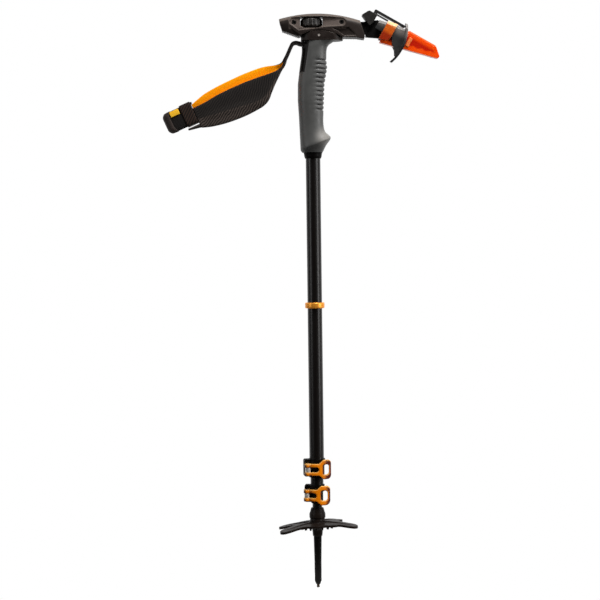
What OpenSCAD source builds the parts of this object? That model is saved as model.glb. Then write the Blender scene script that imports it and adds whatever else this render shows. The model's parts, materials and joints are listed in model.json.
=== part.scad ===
// Collapsed three-section ski pole with a self-arrest head.
// Millimetres. +Z runs up the pole axis, the origin is the tip point, +X points to the pick.

/* [Shaft] */
// Outside diameter of the upper tube
upper_d = 18; // [16:0.5:22]
// Outside diameter of the middle tube
middle_d = 16; // [13:0.5:20]
// Outside diameter of the lower tube
lower_d = 12; // [10:0.5:16]
// Wall of the upper and middle tubes
tube_wall = 0.9; // [0.7:0.1:1.5]
// Length of the upper tube that shows between the upper lock and the grip
shaft_show = 391.2; // [250:1:480]
// Length of the middle tube
middle_len = 443; // [300:1:560]
// Length of the lower tube
lower_len = 440; // [300:1:560]
// Radial play of a section that slides
slide_play = 0.1; // [0.05:0.05:0.3]
// Radial play of two pieces that are bonded or pressed
seat_play = 0.05; // [0.02:0.01:0.1]
// Height of the ring on the upper tube above the upper lock
ring_rise = 202.4; // [120:1:300]
// Width of the ring along the tube
ring_h = 7.1; // [5:0.1:10]
// Wall of the ring
ring_wall = 3.05; // [2:0.05:4]

/* [Tip and basket] */
// Diameter of the carbide point
tip_d = 3.6; // [3:0.1:5]
// Length of the carbide point that shows
tip_show = 4.3; // [3:0.1:8]
// Diameter of the ferrule's straight end
ferrule_d = 8.7; // [7:0.1:10]
// Height of the basket's hub above the tip
basket_z = 66; // [50:1:90]
// Overall diameter of the basket
basket_d = 102; // [80:1:120]
// Width of one basket lobe
lobe_w = 18; // [14:0.5:26]
// Radius of the web at the notches beside and behind the hub
notch_r = 30; // [22:0.5:36]
// Radius of the web at the open front
front_r = 24; // [20:0.5:30]
// Thickness of the basket's plate
basket_t = 2.8; // [1.6:0.1:3.5]
// Drop of the lobes from hub to rim
basket_drop = 6; // [1:0.5:8]
// Sideways tilt of the basket's plate
basket_tilt = 3; // [-4:0.5:4]

/* [Locks] */
// Height of a lock's clamp
lock_h = 23; // [20:0.5:28]
// Height of the lower lock's middle above the tip
low_lock_z = 117.7; // [110:0.1:140]
// Free tube between the two locks
lock_gap = 9.4; // [6:0.1:20]
// Turn of the upper lock about the pole
up_lock_turn = 10; // [-30:1:30]
// Turn of the lower lock about the pole
low_lock_turn = -6; // [-30:1:30]
// Wall of the clamp around the tubes
clamp_wall = 1.5; // [1:0.1:2.5]
// Slit between the clamp's two ears
clamp_slit = 1.6; // [1:0.1:3]
// Depth that the outer tube sits in the clamp
clamp_seat = 6; // [4:0.5:8]
// Thickness of the lever's strip
lever_t = 2.4; // [1.8:0.1:3]
// Overall height of the lever's finger loop
loop_h = 24; // [20:0.5:28]
// Height of the finger hole in the loop
hole_h = 12.6; // [9:0.2:16]
// Height of the lever's two arms together
arm_h = 14.6; // [12:0.2:18]
// Gap between the two arms
arm_gap = 6.2; // [4.6:0.2:8]
// Reach of the lever beyond the pole axis
lever_reach = 16.6; // [14:0.1:20]
// Diameter of the barrel that the lever turns on
barrel_d = 4.8; // [4:0.1:6]
// Diameter of the tension screw
tension_d = 3; // [2.5:0.1:3.5]
// Play of the lever on its barrel
lever_play = 0.05; // [0.02:0.01:0.1]
// Throw of the lever's cam
cam_throw = 0.35; // [0.2:0.05:0.6]

/* [Grip] */
// Length of the grip from its collar to the flange
grip_len = 136.8; // [120:1:160]
// Half depth of the grip at the palm
grip_half_depth = 14; // [12.5:0.1:18]
// Number of finger grooves
groove_n = 12; // [6:1:14]
// Spacing of the finger grooves
groove_pitch = 5.5; // [4.5:0.1:6.5]
// Depth of the finger grooves
groove_deep = 1.3; // [0.4:0.1:1.6]
// Height of the collar below the grip
collar_h = 7.4; // [5:0.1:12]
// Height of the strap slot under the flange
slot_h = 7.2; // [6:0.1:9]
// Diameter of the pin that the strap hangs on
strap_pin_d = 3; // [2:0.1:4]

/* [Head] */
// Width of the head
head_w = 28; // [24:0.5:34]
// Play between the head's arch and the flange
arch_play = 0.5; // [0.3:0.1:1]
// Radius of the arch that the head sits on
arch_r = 45.7; // [40:0.1:52]
// Depth of the side pockets
pocket_deep = 3.4; // [2:0.1:5]
// Diameter of the thumbwheel
wheel_d = 27; // [22:0.5:30]
// Height of the thumbwheel
wheel_h = 12.4; // [9:0.1:15]
// Number of scallops on the thumbwheel
wheel_n = 16; // [8:1:20]
// Diameter of the stud that the thumbwheel turns on
stud_d = 8; // [6:0.1:9]
// Diameter of the head screws' heads
screw_head_d = 5.6; // [4:0.1:7]
// Thickness of the pick
pick_t = 4; // [3:0.1:5]
// Play of the pick's tang in the head
tang_play = 0.05; // [0.02:0.01:0.2]
// Droop of the pick below level
pick_drop = 30; // [20:1:40]
// Length of the pick beyond the guard's band
pick_len = 70; // [55:1:80]
// Number of teeth on the pick
tooth_n = 8; // [4:1:12]

/* [Pick guard] */
// Play of the guard on the pick
guard_play = 0.3; // [0.2:0.05:0.6]
// Wall of the sheath beside the pick
sheath_wall = 3.2; // [2:0.1:4]
// Wall of the clip
clip_wall = 1.8; // [1.2:0.1:2.5]
// Wall of the band
band_wall = 1.7; // [1.2:0.1:2.5]
// Length of the band along the pick
band_len = 12.4; // [9:0.1:16]
// Half width of the clip's cross flange
flange_half = 10.5; // [9:0.1:13]
// Length of the sheath beyond the tip of the pick
sheath_over = 6; // [4:0.5:10]

/* [Strap] */
// Thickness of a padded strap layer
pad_t = 4; // [2.5:0.1:6]
// Thickness of the lining
lining_t = 1; // [0.6:0.1:2]
// Opening between the two strap layers
hand_gap = 8; // [6:0.5:20]
// Width of the webbing at the grip
webbing_w = 15; // [12:0.5:18]
// Thickness of the doubled webbing at the grip
webbing_t = 3.6; // [2.4:0.1:4.4]
// Wall of the strap's keeper
keeper_wall = 1.6; // [1:0.1:3]

/* [Hidden] */
$fn = 72;
eps = 0.01;
split = 0.03;

upper_r = upper_d / 2;
middle_r = middle_d / 2;
lower_r = lower_d / 2;
upper_bore = upper_r - tube_wall;
middle_bore = middle_r - tube_wall;
lower_bore = lower_r - tube_wall;

up_lock_z = low_lock_z + lock_h + lock_gap;
middle_z0 = low_lock_z + lock_h / 2 - clamp_seat;
upper_z0 = up_lock_z + lock_h / 2 - clamp_seat;
grip_z0 = up_lock_z + shaft_show;
grip_z1 = grip_z0 + grip_len;
upper_z1 = grip_z1 - 14;
spigot_deep = 22;
bush_len = 16;

collar_top_z = basket_z + 34;
hub_top_z = basket_z + 17;
socket_z0 = hub_top_z + 1;
lower_z0 = socket_z0 + 2;
ferrule_r = ferrule_d / 2;
tip_step = 0.3;
seat_r = ferrule_r + 0.6;
socket_r = lower_r + 1.5;

// Head points are given from the flange plane up, pick points along and across the pick.
arch_x = 9.8;
arch_dz = -33.9;
pick_x = 93.8;
pick_dz = 21.5;
pick_half = pick_t / 2;
pick_top = -3.5;
pick_root_low = -23.1;
pick_taper = 0.233;
tang_x0 = 21;
tang_low = 7;
tang_step = 14;
tang_step_x = 36;
tang_high = 25.6;
end_low_x = 65.4;
screw_front = [37, 21.7];
screw_rear = [-21.4, 21.8];
screw_shank_r = 1.7;
nut_len = 4.2;
floor_y = head_w / 2 - pocket_deep;
wheel_dz = 15.4;
wheel_room = 0.5;
wheel_waist = 0.22;
wheel_cut = [4.6, 3.4];
insert_wall = 2.4;

cavity_half = pick_half + guard_play;
sheath_half = cavity_half + sheath_wall;
blade_half = sheath_half - 0.35;
clip_in = sheath_half + guard_play / 2;
clip_half = clip_in + clip_wall;
band_in = clip_half + guard_play / 2;
band_half = band_in + band_wall;
clip_rise = 11.3;
clip_top0 = -0.6;
bar_low = 4.1;
bar_t = 2.6;
bar_half = 4;
bar_end = 21.4;

function arc(cx, cy, r, a0, a1, n) =
    [for (i = [0:n]) [cx + r * cos(a0 + (a1 - a0) * i / n), cy + r * sin(a0 + (a1 - a0) * i / n)]];
function ease(t) = t <= 0 ? 0 : t >= 1 ? 1 : t * t * (3 - 2 * t);
function blunt(c, e) = sign(c) * pow(abs(c), 2 / e);
function pick_pt(u, v) =
    [pick_x + u * cos(pick_drop) + v * sin(pick_drop),
     pick_dz - u * sin(pick_drop) + v * cos(pick_drop)];
function pick_low(u) = pick_root_low + pick_taper * (u + 1.6);

// Puts an X, Z outline between two Y planes.
module side(y0, y1) {
    translate([0, y1, 0])
        rotate([90, 0, 0])
            linear_extrude(height = y1 - y0)
                children();
}

module rod_y(x, z, y0, y1, r) {
    translate([x, y1, z])
        rotate([90, 0, 0])
            cylinder(h = y1 - y0, r = r);
}

module rod_z(r, z0, z1) {
    translate([0, 0, z0])
        cylinder(h = z1 - z0, r = r);
}

module sleeve(ro, ri, z0, z1) {
    difference() {
        rod_z(ro, z0, z1);
        rod_z(ri, z0 - 1, z1 + 1);
    }
}

module at_head() {
    translate([0, 0, grip_z1])
        children();
}

module in_pick() {
    translate([pick_x, 0, grip_z1 + pick_dz])
        rotate([0, pick_drop, 0])
            children();
}

// Closed skin over rings of equal point count.
module loft(rings) {
    n = len(rings[0]);
    m = len(rings);
    sides = [for (k = [0:m - 2]) for (i = [0:n - 1]) for (half = [0, 1])
        half == 0
            ? [k * n + i, (k + 1) * n + (i + 1) % n, k * n + (i + 1) % n]
            : [k * n + i, (k + 1) * n + i, (k + 1) * n + (i + 1) % n]];
    low = [for (i = [0:n - 1]) i];
    high = [for (i = [0:n - 1]) m * n - 1 - i];
    polyhedron(points = [for (ring = rings) each ring], faces = concat(sides, [low, high]));
}

// Upper section: tube, ring, grip and flange.
module upper_shaft() {
    color("#1a1817")
        sleeve(upper_r, upper_bore, upper_z0, upper_z1);
}

module shaft_ring() {
    z0 = up_lock_z + ring_rise - ring_h / 2;
    edge = 1.2;
    r = upper_r + ring_wall;
    color("#f58a1a")
        translate([0, 0, z0])
            rotate_extrude()
                polygon(concat([[upper_r + seat_play, 0]],
                    arc(r - edge, edge, edge, -90, 0, 6),
                    arc(r - edge, ring_h - edge, edge, 0, 90, 6),
                    [[upper_r + seat_play, ring_h]]));
}

// Grip outline: rear and front edges and the slope of each section, by height above the collar.
grip_rear = [[0, 13.4], [12, 14.9], [34, 16.2], [64, 17.9], [84, 17.6], [104, 15], [122, 12.2], [137, 12]];
grip_front = [[0, 11.9], [9, 16.6], [15, 21.2], [17.5, 22.2], [20, 21.6], [24.5, 15.9], [30, 13.8],
    [38, 13.1], [64, 14.4], [84, 15.4], [98, 18], [104, 18.9], [112, 18.1], [122.5, 17.9], [129, 19],
    [133, 22], [137, 29.5]];
grip_tilt = [[0, 0], [5, 0.14], [9, 0.235], [12.5, 0.3], [15.5, 0.35], [17.5, 0.385], [30, 0.26], [42, 0]];
grip_depth = [[0, 0.86], [9, 1.0], [15, 1.17], [17.5, 1.2], [20, 1.16], [25, 1.04], [31, 0.97], [38, 0.95],
    [64, 1], [104, 0.95], [137, 0.93]];
grip_sides = 36;
groove_z0 = 52.4;
groove_half = groove_pitch * 0.32;

function groove_cut(h) =
    let (k = round((h - groove_z0) / groove_pitch), off = abs(h - groove_z0 - k * groove_pitch))
    k < 0 || k > groove_n - 1 ? 0 : groove_deep * (1 - ease(off / groove_half));
function grip_point(h, a) =
    let (front = lookup(h, grip_front), rear = lookup(h, grip_rear), tilt = lookup(h, grip_tilt),
         half = (front + rear) / 2,
         x = (front - rear) / 2 + half * blunt(cos(a), 2.25),
         wrap = ease((x - 1) / 7),
         pull = 1 - groove_cut(h) * wrap / half)
    [(front - rear) / 2 + half * blunt(cos(a), 2.25) * pull,
     grip_half_depth * lookup(h, grip_depth) * blunt(sin(a), 2.25) * pull,
     grip_z0 + h + tilt * (x - front)];
groove_span = (groove_n - 1) * groove_pitch;
grip_levels = concat([0, 5, 9, 12.5, 15.5, 17.5, 19.5, 22, 25, 29, 34, 40, 46],
    [for (k = [0:groove_n * 4 - 2]) groove_z0 - groove_pitch / 4 * 1 + k * groove_pitch / 4],
    [groove_z0 + groove_span + 6, 124, 128.5, 132, 135, grip_len]);
grip_scale = grip_len / 136.8;

module grip_blank() {
    loft([for (h = grip_levels)
        [for (i = [0:grip_sides - 1]) grip_point(h * grip_scale, 360 * i / grip_sides)]]);
}

wedge_low = grip_len - 37.5;
wedge_high = grip_len - slot_h - 2.6;
module wedge_zone(room) {
    side(-30, 30)
        polygon([[-40, grip_z0 + wedge_low - room], [-40, grip_z0 + wedge_high + room],
            [-7.6 + room, grip_z0 + wedge_high + room], [-11.2 + room, grip_z0 + wedge_low - room]]);
}

slot_mid = grip_z1 - slot_h / 2 - 0.1;
slot_x1 = -stud_d / 2 - 1;
pin_x = slot_x1 - strap_pin_d / 2 - 0.6;
slot_half = webbing_w / 2 + 0.7;
module strap_slot() {
    translate([-40, -slot_half, slot_mid - slot_h / 2])
        cube([40 + slot_x1, 2 * slot_half, slot_h]);
}

module grip() {
    color("#4e4e4e")
        difference() {
            grip_blank();
            rod_z(upper_r + seat_play, grip_z0 - 1, grip_z1 + 1);
            wedge_zone(0.15);
            strap_slot();
            rod_y(pin_x, slot_mid, -20, 20, strap_pin_d / 2 + seat_play);
        }
}

module strap_wedge() {
    color("#3c3634")
        difference() {
            intersection() {
                grip_blank();
                wedge_zone(0);
            }
            rod_z(upper_r + 0.2, grip_z0, grip_z1 + 1);
        }
}

module strap_pin() {
    color("#b8b4ae")
        rod_y(pin_x, slot_mid, -slot_half - 0.8, slot_half + 0.8, strap_pin_d / 2);
}

module grip_collar() {
    z0 = grip_z0 - collar_h;
    color("#171615")
        rotate_extrude()
            polygon([[upper_r + seat_play, z0], [upper_r + 0.8, z0], [upper_r + 1.7, z0 + 2.6],
                [upper_r + 2, z0 + 5], [upper_r + 2.6, z0 + collar_h - 0.1],
                [upper_r + seat_play, z0 + collar_h - 0.1]]);
}

// Cap with the arch that the head sits on, and a spigot into the tube.
flange_x0 = -13.2;
flange_x1 = 38.4;
flange_round = head_w / 2 - 0.6;
module flange_plan() {
    mid = (flange_x1 - flange_round - flange_x0 - flange_round) / 2;
    translate([flange_x1 - flange_round, 0])
        circle(r = flange_round);
    translate([flange_x0 + flange_round, 0])
        circle(r = flange_round);
    translate([flange_x0 + flange_round, -flange_round])
        square([2 * mid, 2 * flange_round]);
}

module grip_flange() {
    color("#4a423f")
        difference() {
            union() {
                at_head()
                    intersection() {
                        linear_extrude(height = 20)
                            flange_plan();
                        rod_y(arch_x, arch_dz, -30, 30, arch_r);
                    }
                rod_z(upper_r - 0.1, upper_z1 + 0.1, grip_z1 + 1);
                rod_z(upper_bore - seat_play, upper_z1 - spigot_deep, upper_z1 + 1);
            }
            rod_z(stud_d / 2, upper_z1 - 6, grip_z1 + 30);
            strap_slot();
            rod_y(pin_x, slot_mid, -20, 20, strap_pin_d / 2 + seat_play);
            rod_y(9.2, grip_z1 + 6.2, -20, 20, flange_pin_r);
            at_head()
                for (s = [-1, 1])
                    flange_side_cut(s);
        }
}

flange_pin_r = 1.75;
// Shallow cove along each side of the flange, below its rim.
module flange_side_cut(s) {
    translate([arch_x, s * (flange_round + 4.6), 1.2])
        rotate([0, 90, 0])
            cylinder(h = 34, r = 5, center = true);
}

module flange_pin() {
    color("#d6d0c8")
        rod_y(9.2, grip_z1 + 6.2, -flange_round + 0.6, flange_round - 0.6, flange_pin_r);
}

stud_top = wheel_dz + wheel_h - 1.4;
module head_stud() {
    color("#b8b4ae")
        rod_z(stud_d / 2 - seat_play, upper_z1 - 6, grip_z1 + stud_top);
}

// Head: two shells over the pick's tang, screwed together, with the thumbwheel between them.
head_crown = 32.8;
head_crown_x = 5;
head_bend = 0.00287;
head_round = 8;
function head_top(x) = head_crown - head_bend * pow(x - head_crown_x, 2);
function head_half(x) = head_w / 2 * (1 - pow((x - 8) / 95, 2));
function notches(a, b, n, deep) =
    let (d = b - a, up = [-d[1], d[0]] / norm(d) * deep)
    [for (i = [0:n - 1]) for (half = [0, 1])
        half == 0 ? a + d * i / n : a + d * (i + 0.5) / n + up];

module head_blank() {
    intersection() {
        loft([for (x = [-42:6:72])
            concat([[x, head_half(x), -4]],
                [for (p = arc(head_half(x) - head_round, head_top(x) - head_round, head_round, 0, 90, 6))
                    [x, p[0], p[1]]],
                [for (p = arc(head_round - head_half(x), head_top(x) - head_round, head_round, 90, 180, 6))
                    [x, p[0], p[1]]],
                [[x, -head_half(x), -4]])]);
        side(-30, 30)
            polygon(concat([[-40.4, 40], [-39.8, 27.1], [-39, 21.8]],
                notches([-35.7, 11.4], [-15.8, 4.1], 10, 1.1), [[-15.8, 4.1]],
                notches([39.8, 3.1], [56.3, 2.4], 8, 0.5),
                [[56.3, 2.4], [64.5, 1], [end_low_x, 4], [59.7, 24], [55, 40]]));
    }
}

// Facet that runs down each side of the tail to the serrated edge.
module tail_facet(s) {
    translate([-28, s * 12.2, 17.4])
        rotate([0, 38, 0])
            rotate([-s * 21, 0, 0])
                translate([-30, s > 0 ? 0 : -20, -40])
                    cube([60, 20, 40]);
}

// Pocket in each side: a floor that leans back at its top, with walls that slope out to the surface.
pocket_mid = 21.5;
pocket_lean = 0.18;
pocket_slope = 0.5;
pocket_line = concat([[-24.4, 27.3]], arc(37.2, 21.9, 4.7, 90, -65, 8), [[18.3, 17.2], [0.9, 14.7]],
    arc(-14.6, 15.6, 3, 275, 225, 3), arc(-23.2, 22.6, 3.4, 220, 120, 4));
function pocket_out(i) =
    let (n = len(pocket_line), t = pocket_line[(i + 1) % n] - pocket_line[(i + n - 1) % n])
    [-t[1], t[0]] / norm(t);
module side_pocket() {
    up = 6;
    loft([for (k = [1, 0])
        [for (i = [0:len(pocket_line) - 1])
            let (p = pocket_line[i] + k * up * pocket_slope * pocket_out(i))
            [p[0], -floor_y - k * up + pocket_lean * (pocket_line[i][1] - pocket_mid), p[1]]]]);
}

module front_recess() {
    polygon([[25.2, 14.1], [46.1, 15.2], [55.4, 5.2], [40.4, 5], [31.6, 11]]);
}

module wheel_window(room) {
    half = wheel_d / 2 + room;
    low = wheel_dz - wheel_room;
    high = wheel_dz + wheel_h + wheel_room;
    polygon([[-half, low + wheel_cut[1]], [wheel_cut[0] - half, low], [half - wheel_cut[0], low],
        [half, low + wheel_cut[1]], [half, high], [-half, high]]);
}

module tang_room(room) {
    polygon([[tang_x0 - room, tang_step - room], [tang_x0 - room, tang_high + room],
        [46 + room, tang_high + room], [58.5, 22.3 + room], [75, 22.8 + room], [75, tang_low - room],
        [tang_step_x + 8, tang_low - room], [tang_step_x, tang_step - room]]);
}

module head_hollows() {
    for (s = [-1, 1]) {
        tail_facet(s);
        mirror([0, s < 0 ? 0 : 1, 0]) {
            side_pocket();
            side(-30, -head_w / 2 + 3.6)
                front_recess();
        }
    }
    rod_y(arch_x, arch_dz, -40, 40, arch_r + arch_play);
    side(-40, 40)
        wheel_window(wheel_waist);
    for (y = [-40, 3])
        side(y, y + 37)
            wheel_window(wheel_room);
    rod_z(stud_d / 2 + 0.4, 0, wheel_dz + 1);
    side(-pick_half - tang_play, pick_half + tang_play)
        tang_room(0.15);
    for (p = [screw_front, screw_rear]) {
        rod_y(p[0], p[1], -30, 30, screw_shank_r + seat_play);
        rod_y(p[0], p[1], -30, -floor_y + 2.3, screw_head_d / 2 + seat_play);
        rod_y(p[0], p[1], floor_y - nut_len - 0.1, 30, screw_head_d / 2 + seat_play);
    }
}

module head_shell(s) {
    color("#4a423f")
        at_head()
            difference() {
                head_blank();
                head_hollows();
                translate([-60, s < 0 ? -split : -40 + split, -10])
                    cube([160, 40, 60]);
            }
}

module head_shell_near() {
    head_shell(-1);
}

module head_shell_far() {
    head_shell(1);
}

module head_screw(p) {
    color("#2a2827")
        at_head()
            difference() {
                union() {
                    rod_y(p[0], p[1], -floor_y + 0.3, -floor_y + 2.2, screw_head_d / 2);
                    rod_y(p[0], p[1], -floor_y + 2, floor_y - 1, screw_shank_r);
                }
                translate([p[0], -floor_y, p[1]])
                    rotate([90, 0, 0])
                        cylinder(h = 3, r = 1.5, $fn = 6, center = true);
            }
}

module head_nut(p) {
    color("#2a2827")
        at_head()
            difference() {
                rod_y(p[0], p[1], floor_y - nut_len, floor_y - 0.3, screw_head_d / 2);
                rod_y(p[0], p[1], 0, floor_y - 1 + eps, screw_shank_r);
            }
}

module head_screw_front() {
    head_screw(screw_front);
}

module head_screw_rear() {
    head_screw(screw_rear);
}

module head_nut_front() {
    head_nut(screw_front);
}

module head_nut_rear() {
    head_nut(screw_rear);
}

tooth_pitch = (pick_len - 28) / tooth_n;
pick_teeth = [for (i = [0:tooth_n - 1]) for (half = [0, 1])
    let (u = pick_len - 4 - (i + half * 0.72) * tooth_pitch)
    pick_pt(u, pick_low(u) + half * 1.8)];

module pick() {
    color("#22201f")
        at_head()
            difference() {
                side(-pick_half, pick_half)
                    polygon(concat([[tang_x0, tang_step], [tang_x0, tang_high], [46, tang_high],
                            [58.5, 22.3], [66, 22.8], pick_pt(-12, pick_top), pick_pt(pick_len - 6, pick_top),
                            pick_pt(pick_len - 2, pick_top - 0.7), pick_pt(pick_len, pick_top - 2),
                            pick_pt(pick_len - 0.4, pick_low(pick_len))],
                        pick_teeth,
                        [pick_pt(-1.6, pick_root_low), [66.2, 3.6], [66.2, tang_low],
                            [tang_step_x + 8, tang_low], [tang_step_x, tang_step]]));
                rod_y(screw_front[0], screw_front[1], -10, 10, screw_shank_r + seat_play);
            }
}

module thumbwheel() {
    r = wheel_d / 2;
    bevel = 2.8;
    color("#6a6664")
        at_head()
            translate([0, 0, wheel_dz])
                difference() {
                    rotate_extrude()
                        polygon([[stud_d / 2 + insert_wall, 0], [r - wheel_cut[0], 0], [r, wheel_cut[1]],
                            [r, wheel_h - bevel], [r - bevel, wheel_h], [stud_d / 2 + insert_wall, wheel_h]]);
                    for (i = [0:wheel_n - 1])
                        rotate([0, 0, 360 * (i + 0.5) / wheel_n])
                            translate([r + 0.5, 0, -1])
                                cylinder(h = wheel_h + 2, r = 1.7);
                }
}

module wheel_insert() {
    color("#b9975a")
        at_head()
            sleeve(stud_d / 2 + insert_wall - seat_play, stud_d / 2 + lever_play, wheel_dz + 0.2,
                wheel_dz + wheel_h - 0.2);
}

// Pick guard: sheath, clip with its cross flange, band, retainer and block.
function clip_top(u) = clip_top0 + u * tan(clip_rise);
module hood(half, top, bevel) {
    translate([0, 0, clip_top0])
        rotate([0, -clip_rise, 0])
            translate([-40, 0, 0])
                rotate([90, 0, 90])
                    linear_extrude(height = 120)
                        polygon([[-half, -70], [-half, top - bevel], [bevel - half, top],
                            [half - bevel, top], [half, top - bevel], [half, -70]]);
}

sheath_top = 4;
sheath_low = 4.6;
sheath_u0 = 3;
cross_u = -20.6;
cross_v = -20.8;
cross_r = 52.9;
cross_t = 2.6;
sheath_u1 = pick_len + sheath_over;

module pick_sheath() {
    color("#ff6a10")
        in_pick()
            difference() {
                union() {
                    intersection() {
                        hood(sheath_half, -clip_wall - guard_play / 2, 2.6);
                        side(-20, 20)
                            polygon([[sheath_u0, pick_low(sheath_u0) - sheath_low],
                                [30, pick_low(30) - sheath_low], [30, sheath_top - 0.4], [sheath_u0, sheath_top - 0.4]]);
                    }
                    side(-blade_half - 0.9, blade_half + 0.9)
                        polygon([[32.8, -14.4], [36.6, -14.4], [36.6, -3], [32.8, -3]]);
                    intersection() {
                        side(-blade_half, blade_half)
                            polygon(concat([[28.5, pick_low(28.5) - sheath_low + 0.3]],
                                arc(sheath_u1 - 3.2, pick_low(sheath_u1) - 1.2, 3.2, -80, 15, 5),
                                arc(sheath_u1 - 11.6, sheath_top - 3, 3, 40, 90, 4), [[28.5, sheath_top]]));
                        rotate([90, 0, 90])
                            linear_extrude(height = 200)
                                polygon([[-sheath_half, -70], [-sheath_half, sheath_top - 2],
                                    [2 - sheath_half, sheath_top], [sheath_half - 2, sheath_top],
                                    [sheath_half, sheath_top - 2], [sheath_half, -70]]);
                    }
                }
                side(-cavity_half, cavity_half)
                    polygon([[0, pick_low(0) - 0.6], [pick_len + 0.8, pick_low(pick_len) - 0.8],
                        [pick_len + 0.8, pick_top - 1.4], [pick_len - 4, pick_top + guard_play],
                        [0, pick_top + guard_play]]);
            }
}

module clip_body() {
    difference() {
        intersection() {
            hood(clip_half, 0, 3.2);
            side(-20, 20)
                polygon([[-10, -14], [13, -14], [15, -16.4], [18, -21.5], [23.6, -25.5], [27, -31],
                    [34, -31], [34, 10], [-10, 10]]);
            rod_y(cross_u, cross_v, -30, 30, cross_r - 1);
        }
        hood(clip_in, -clip_wall, 2.6);
        translate([-12, -cavity_half, -10])
            cube([13, 2 * cavity_half, 20]);
    }
}

module sheath_clip() {
    color("#5d5f61")
        in_pick()
            difference() {
                union() {
                    clip_body();
                    intersection() {
                        rod_y(cross_u, cross_v, -30, 30, cross_r);
                        translate([16, 0, 0])
                            rotate([90, 0, 90])
                                linear_extrude(height = 30)
                                    for (s = [-1, 1])
                                        polygon([[0, 9.4], [s * 6.5, 9.4], [s * flange_half, 4],
                                            [s * flange_half, -15], [s * 7.5, -25], [s * 4.6, -33],
                                            [s * 3.6, -40.4], [0, -40.4]]);
                        difference() {
                            side(-30, 30)
                                polygon([[16, 20], [40, 20], [40, -50], [16, -50]]);
                            rod_y(cross_u, cross_v, -40, 40, cross_r - cross_t);
                        }
                    }
                }
                translate([20, -clip_in, pick_low(31) - sheath_low - 0.6])
                    cube([20, 2 * clip_in, sheath_top + guard_play / 2 - pick_low(31) + sheath_low + 0.6]);
            }
}

module sheath_band() {
    color("#f08a2c")
        in_pick()
            difference() {
                intersection() {
                    hood(band_half, band_wall + guard_play / 2, 3.8);
                    side(-20, 20)
                        polygon([[0, -23.6], [0, 10], [band_len, 10], [band_len, -16], [band_len - 2.4, -21]]);
                }
                hood(band_in, guard_play / 2, 3.2);
            }
}

module retainer_strap() {
    color("#1b1a1a")
        in_pick()
            side(-bar_half, bar_half)
                polygon([[-21, 1.3], [-0.5, 1.3], [-0.5, 2.4], [-16.4, 2.4], [-16.4, bar_low],
                    [bar_end, bar_low], [bar_end, bar_low + bar_t], [-20, bar_low + bar_t], [-21, bar_low + bar_t - 1]]);
}

module retainer_block() {
    half = cavity_half + 5.6;
    color("#3a3b36")
        in_pick()
            difference() {
                side(-half, half)
                    polygon([[-32, -8], [-28, -0.6], [-26, 1.2], [-15.5, 1.2], [-15.5, -9], [-17.5, -15]]);
                side(-cavity_half, cavity_half)
                    polygon([[-50, -40], [10, -40], [10, pick_top + guard_play], [-50, pick_top + guard_play]]);
            }
}

// Wrist strap: doubled webbing at the grip, a padded two-layer hand loop, and a keeper at its end.
strap_end = [-179, grip_z1 - 100];
strap_slope = 24;
fold_half = 13;
fold_len = 36.4;
keeper_s0 = 21.5;
keeper_s1 = 36.5;
pad_s0 = 36.8;
layer_in = hand_gap / 2;
lining_out = layer_in + lining_t;
pad_out = lining_out + pad_t + 0.05;
fold_in = layer_in + 0.6;
fold_out = fold_in + 2.4;

function strap_pt(x, dz) = [x, grip_z1 + dz];
function end_pt(s, t) =
    strap_end + [s * cos(strap_slope) - t * sin(strap_slope), s * sin(strap_slope) + t * cos(strap_slope)];
function thick(path, d) =
    [for (i = [0:len(path) - 1])
        let (t = path[min(i + 1, len(path) - 1)] - path[max(i - 1, 0)])
        path[i] + [-t[1], t[0]] / norm(t) * d];
function flip(list) = [for (i = [len(list) - 1:-1:0]) list[i]];

neck_path = concat([[pin_x - strap_pin_d / 2 - 0.3, slot_mid], [-14.5, slot_mid + 0.7]],
    [for (p = arc(-19.6, slot_mid - 4.2, 5.9, 85, 155, 5)) p], [strap_pt(-30.4, -17.6), strap_pt(-34.6, -26.6)]);

module strap_neck() {
    color("#1f1b1a")
        side(-webbing_w / 2, webbing_w / 2)
            polygon(concat(thick(neck_path, webbing_t / 2), flip(thick(neck_path, -webbing_t / 2))));
}

module pad_outline(lift) {
    polygon([strap_pt(-33.2, -27.8), strap_pt(-36.4, -26.3), strap_pt(-62, -40.4 + lift * 0.9),
        strap_pt(-88, -51.4 + lift), strap_pt(-113, -62.8 + lift), strap_pt(-132, -72.4 + lift * 0.5),
        end_pt(pad_s0, fold_half - 0.6), end_pt(pad_s0, -fold_half + 0.4), strap_pt(-131, -105.2),
        strap_pt(-111, -101.2), strap_pt(-87, -93.2), strap_pt(-66, -83), strap_pt(-54, -74.6),
        strap_pt(-49.4, -62), strap_pt(-43, -46)]);
}

module strap_pad_near() {
    color("#241f1e")
        side(-pad_out, -lining_out - 0.05)
            pad_outline(0);
}

module strap_pad_far() {
    color("#241f1e")
        side(lining_out + 0.05, pad_out)
            pad_outline(7.5);
}

module strap_lining_near() {
    color("#ff9d12")
        side(-lining_out, -layer_in)
            pad_outline(0);
}

module strap_lining_far() {
    color("#ff9d12")
        side(layer_in, lining_out)
            pad_outline(7.5);
}

module in_strap_end() {
    translate([strap_end[0], 0, strap_end[1]])
        rotate([0, -strap_slope, 0])
            children();
}

module strap_end_fold() {
    color("#1f1b1a")
        in_strap_end()
            difference() {
                translate([0, 0, -fold_half])
                    linear_extrude(height = 2 * fold_half) {
                        translate([fold_out, 0])
                            circle(r = fold_out);
                        translate([fold_out, -fold_out])
                            square([fold_len - fold_out, 2 * fold_out]);
                    }
                translate([0, 0, -fold_half - 1])
                    linear_extrude(height = 2 * fold_half + 2) {
                        translate([fold_out, 0])
                            circle(r = fold_in);
                        translate([fold_out, -fold_in])
                            square([fold_len, 2 * fold_in]);
                    }
            }
}

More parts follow.
